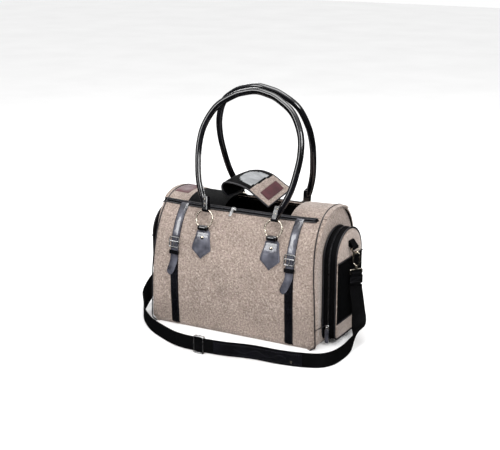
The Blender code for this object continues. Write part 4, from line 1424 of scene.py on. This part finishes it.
OVERLAY_AT = (80, 107)


def band_frames():
    centres = smooth_path([p for p, _ in STRAP_ROUTE], STEPS)
    sides = smooth_path([s for _, s in STRAP_ROUTE], STEPS)
    frames = []
    for i, centre in enumerate(centres):
        tangent = (centres[min(i + 1, len(centres) - 1)] - centres[max(i - 1, 0)]).normalized()
        side = (sides[i] - tangent * sides[i].dot(tangent)).normalized()
        frames.append((centre, side, tangent.cross(side), tangent))
    return frames


def band(name, node, frames, half, near, far, material, slot):
    def lay(level, rim):
        return [[centre + side * (2 * k / 8 - 1) * half
                 + face * (level - (rim if k in (0, 8) else 0.0) * (1 if far > near else -1))
                 for k in range(9)] for centre, side, face, _ in frames]
    return slab_piece(name, lay(far, 0.0004), lay(near, 0.0), material, "root", slot, 50, replaces=(node,))


def make_strap():
    frames = band_frames()
    path = [tuple(f[0]) for f in frames]
    length = sum((b[0] - a[0]).length for a, b in zip(frames, frames[1:]))
    half_thick = WEB_THICK / 2
    webbing = band("strap_band", "shoulder_strap", frames, WEB_HALF, -half_thick, half_thick, WEBBING,
                   "webbing")
    start, stop = OVERLAY_AT
    band("strap_patent", "strap_overlay", frames[start:stop + 1], WEB_HALF - 0.0028, -half_thick - 0.0002,
         -half_thick - 0.0020, PATENT, "patent")
    for k, level in enumerate((-0.0108, 0.0108)):
        line = [f[0] + f[1] * level - f[2] * (WEB_THICK / 2 + 0.0021) for f in frames[start + 1:stop]]
        stitches("overlay_seam_{}".format(k), line, spacing=0.0046, length=0.0028)
    waves = []
    for i, f in enumerate(frames[start + 6:stop - 5]):
        waves.append(f[0] + f[1] * 0.0045 * math.sin(i * 0.9) - f[2] * (WEB_THICK / 2 + 0.0021))
    wavy = smooth_path(waves, 3)
    stitches("overlay_wave", wavy, spacing=0.0030, length=0.0019)
    for k, level in enumerate((-0.0146, 0.0146)):
        rod_piece("strap_selvedge_{}".format(k), ([f[0] + f[1] * level for f in frames], 0.0013, 6), WEBBING,
                  slot="webbing")
    centre = middle_of("strap_adjuster")
    along = Vector((JOINTS["adjuster_slide"]["axis"])).normalized()
    out = along.cross(UP) * 0.0036
    half_a, half_b = 0.0112, 0.0187
    rods = [(rounded_loop(centre + out * face, along, UP, half_a, half_b, 0.003), 0.0013, 8, True)
            for face in (-1, 1)]
    for a in (-1, 1):
        for b in (-1, 1):
            spot = centre + along * a * (half_a - 0.001) + UP * b * half_b
            rods.append(([spot - out, spot + out], 0.0013, 8))
    rod_piece("adjuster_frame", rods, SILVER, "adjuster", replaces=("strap_adjuster",))
    centre = middle_of("overlay_stud")
    outward = -frames[start + 4][2]
    rod_piece("strap_stud", ([centre + outward * level for level in (-0.0010, 0.0004, 0.0012)],
                             dome(0.0030, 0.85, 0.06), 14), METAL, replaces=("overlay_stud",))
    return webbing, path, length


def declare_strap(webbing, path, length):
    fittings = []
    for obj in bpy.context.scene.objects:
        ours = obj.name.startswith(("strap_", "overlay_", "adjuster_")) or "_end_stitch_" in obj.name
        ours = ours or obj.name.endswith(("_stitched_end", "_hook_metal", "_gate_rod"))
        if ours and obj is not webbing and "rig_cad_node" not in obj:
            fittings.append(obj)
    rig.cord(webbing, exit=path[0], length=round(length, 3), diameter=2 * WEB_HALF, far_end="object",
            stiffness="limp", lay="loose", path=path, with_pieces=fittings)


# ---- stage --------------------------------------------------------------
CAMERA_AZIMUTH = math.radians(28.38)
CAMERA_ELEVATION = math.radians(17.42)
CAMERA_DISTANCE = 2.604
FOCAL_MM = 82.2
TARGET = Vector((0, 0, 0.15))


def make_stage():
    bm = bmesh.new()
    bmesh.ops.create_grid(bm, x_segments=2, y_segments=2, size=8.0)
    floor = piece("floor", bm, make_floor(), None)
    floor.visible_glossy = False
    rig.stage(floor)
    scene = bpy.context.scene
    back = Vector((math.sin(CAMERA_AZIMUTH) * math.cos(CAMERA_ELEVATION),
                   -math.cos(CAMERA_AZIMUTH) * math.cos(CAMERA_ELEVATION), math.sin(CAMERA_ELEVATION)))
    data = bpy.data.cameras.new("camera")
    data.lens = FOCAL_MM
    data.sensor_width = 36.0
    data.shift_x = -0.0105
    data.shift_y = 0.0644
    camera = bpy.data.objects.new("camera", data)
    camera.location = TARGET + back * CAMERA_DISTANCE
    camera.rotation_euler = back.to_track_quat("Z", "Y").to_euler()
    scene.collection.objects.link(camera)
    scene.camera = camera
    lamps = (("key", (1.9, -1.3, 1.7), 36.0, 0.9), ("fill", (-1.2, -2.0, 1.5), 20.0, 1.0),
             ("top", (0.1, -0.2, 2.4), 34.0, 1.6), ("rim", (-1.4, 1.7, 1.5), 12.0, 0.8))
    for name, place, power, size in lamps:
        light = bpy.data.lights.new(name, "AREA")
        light.energy = power
        light.size = size
        lamp = bpy.data.objects.new(name, light)
        lamp.location = place
        lamp.rotation_euler = (Vector(place) - TARGET).to_track_quat("Z", "Y").to_euler()
        scene.collection.objects.link(lamp)
    world = bpy.data.worlds.new("studio")
    world.use_nodes = True
    sky = Wiring(world.node_tree)
    height = sky.add("SeparateXYZ", sky.add("TexCoord").outputs["Generated"]).outputs["Z"]
    glow = sky.ramp(sky.math("MULTIPLY_ADD", height, 0.5, 0.5), (0.0, grey(0.02)), (0.50, grey(0.03)),
                    (0.70, grey(0.07)), (0.86, grey(0.70)), (1.0, grey(1.0)))
    seen = sky.add("LightPath").outputs["Is Glossy Ray"]
    background = sky.nodes["Background"]
    sky.links.new(sky.mix(seen, grey(1.0), glow), background.inputs["Color"])
    background.inputs["Strength"].default_value = 1.0
    scene.world = world
    scene.view_settings.view_transform = "Standard"


make_stage()
strap = make_strap()
make_shell()
make_ends()
make_base()
make_pad()
make_belts()
make_handles()
make_flap()
make_pockets()
make_end_hardware()
make_sliders()
declare_strap(*strap)

for entry in frame["record"]["subparts"]:
    node = frame["nodes"].get(entry["node"])
    if node is not None and node.type == "MESH":
        for index in range(len(node.material_slots)):
            node.material_slots[index].material = SLOT_MATERIALS[entry["material_slot"]]

final_box = [list(corner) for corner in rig.bounds()]
json.dump({"cad": cad_box, "visual": final_box}, open("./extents.json", "w"))
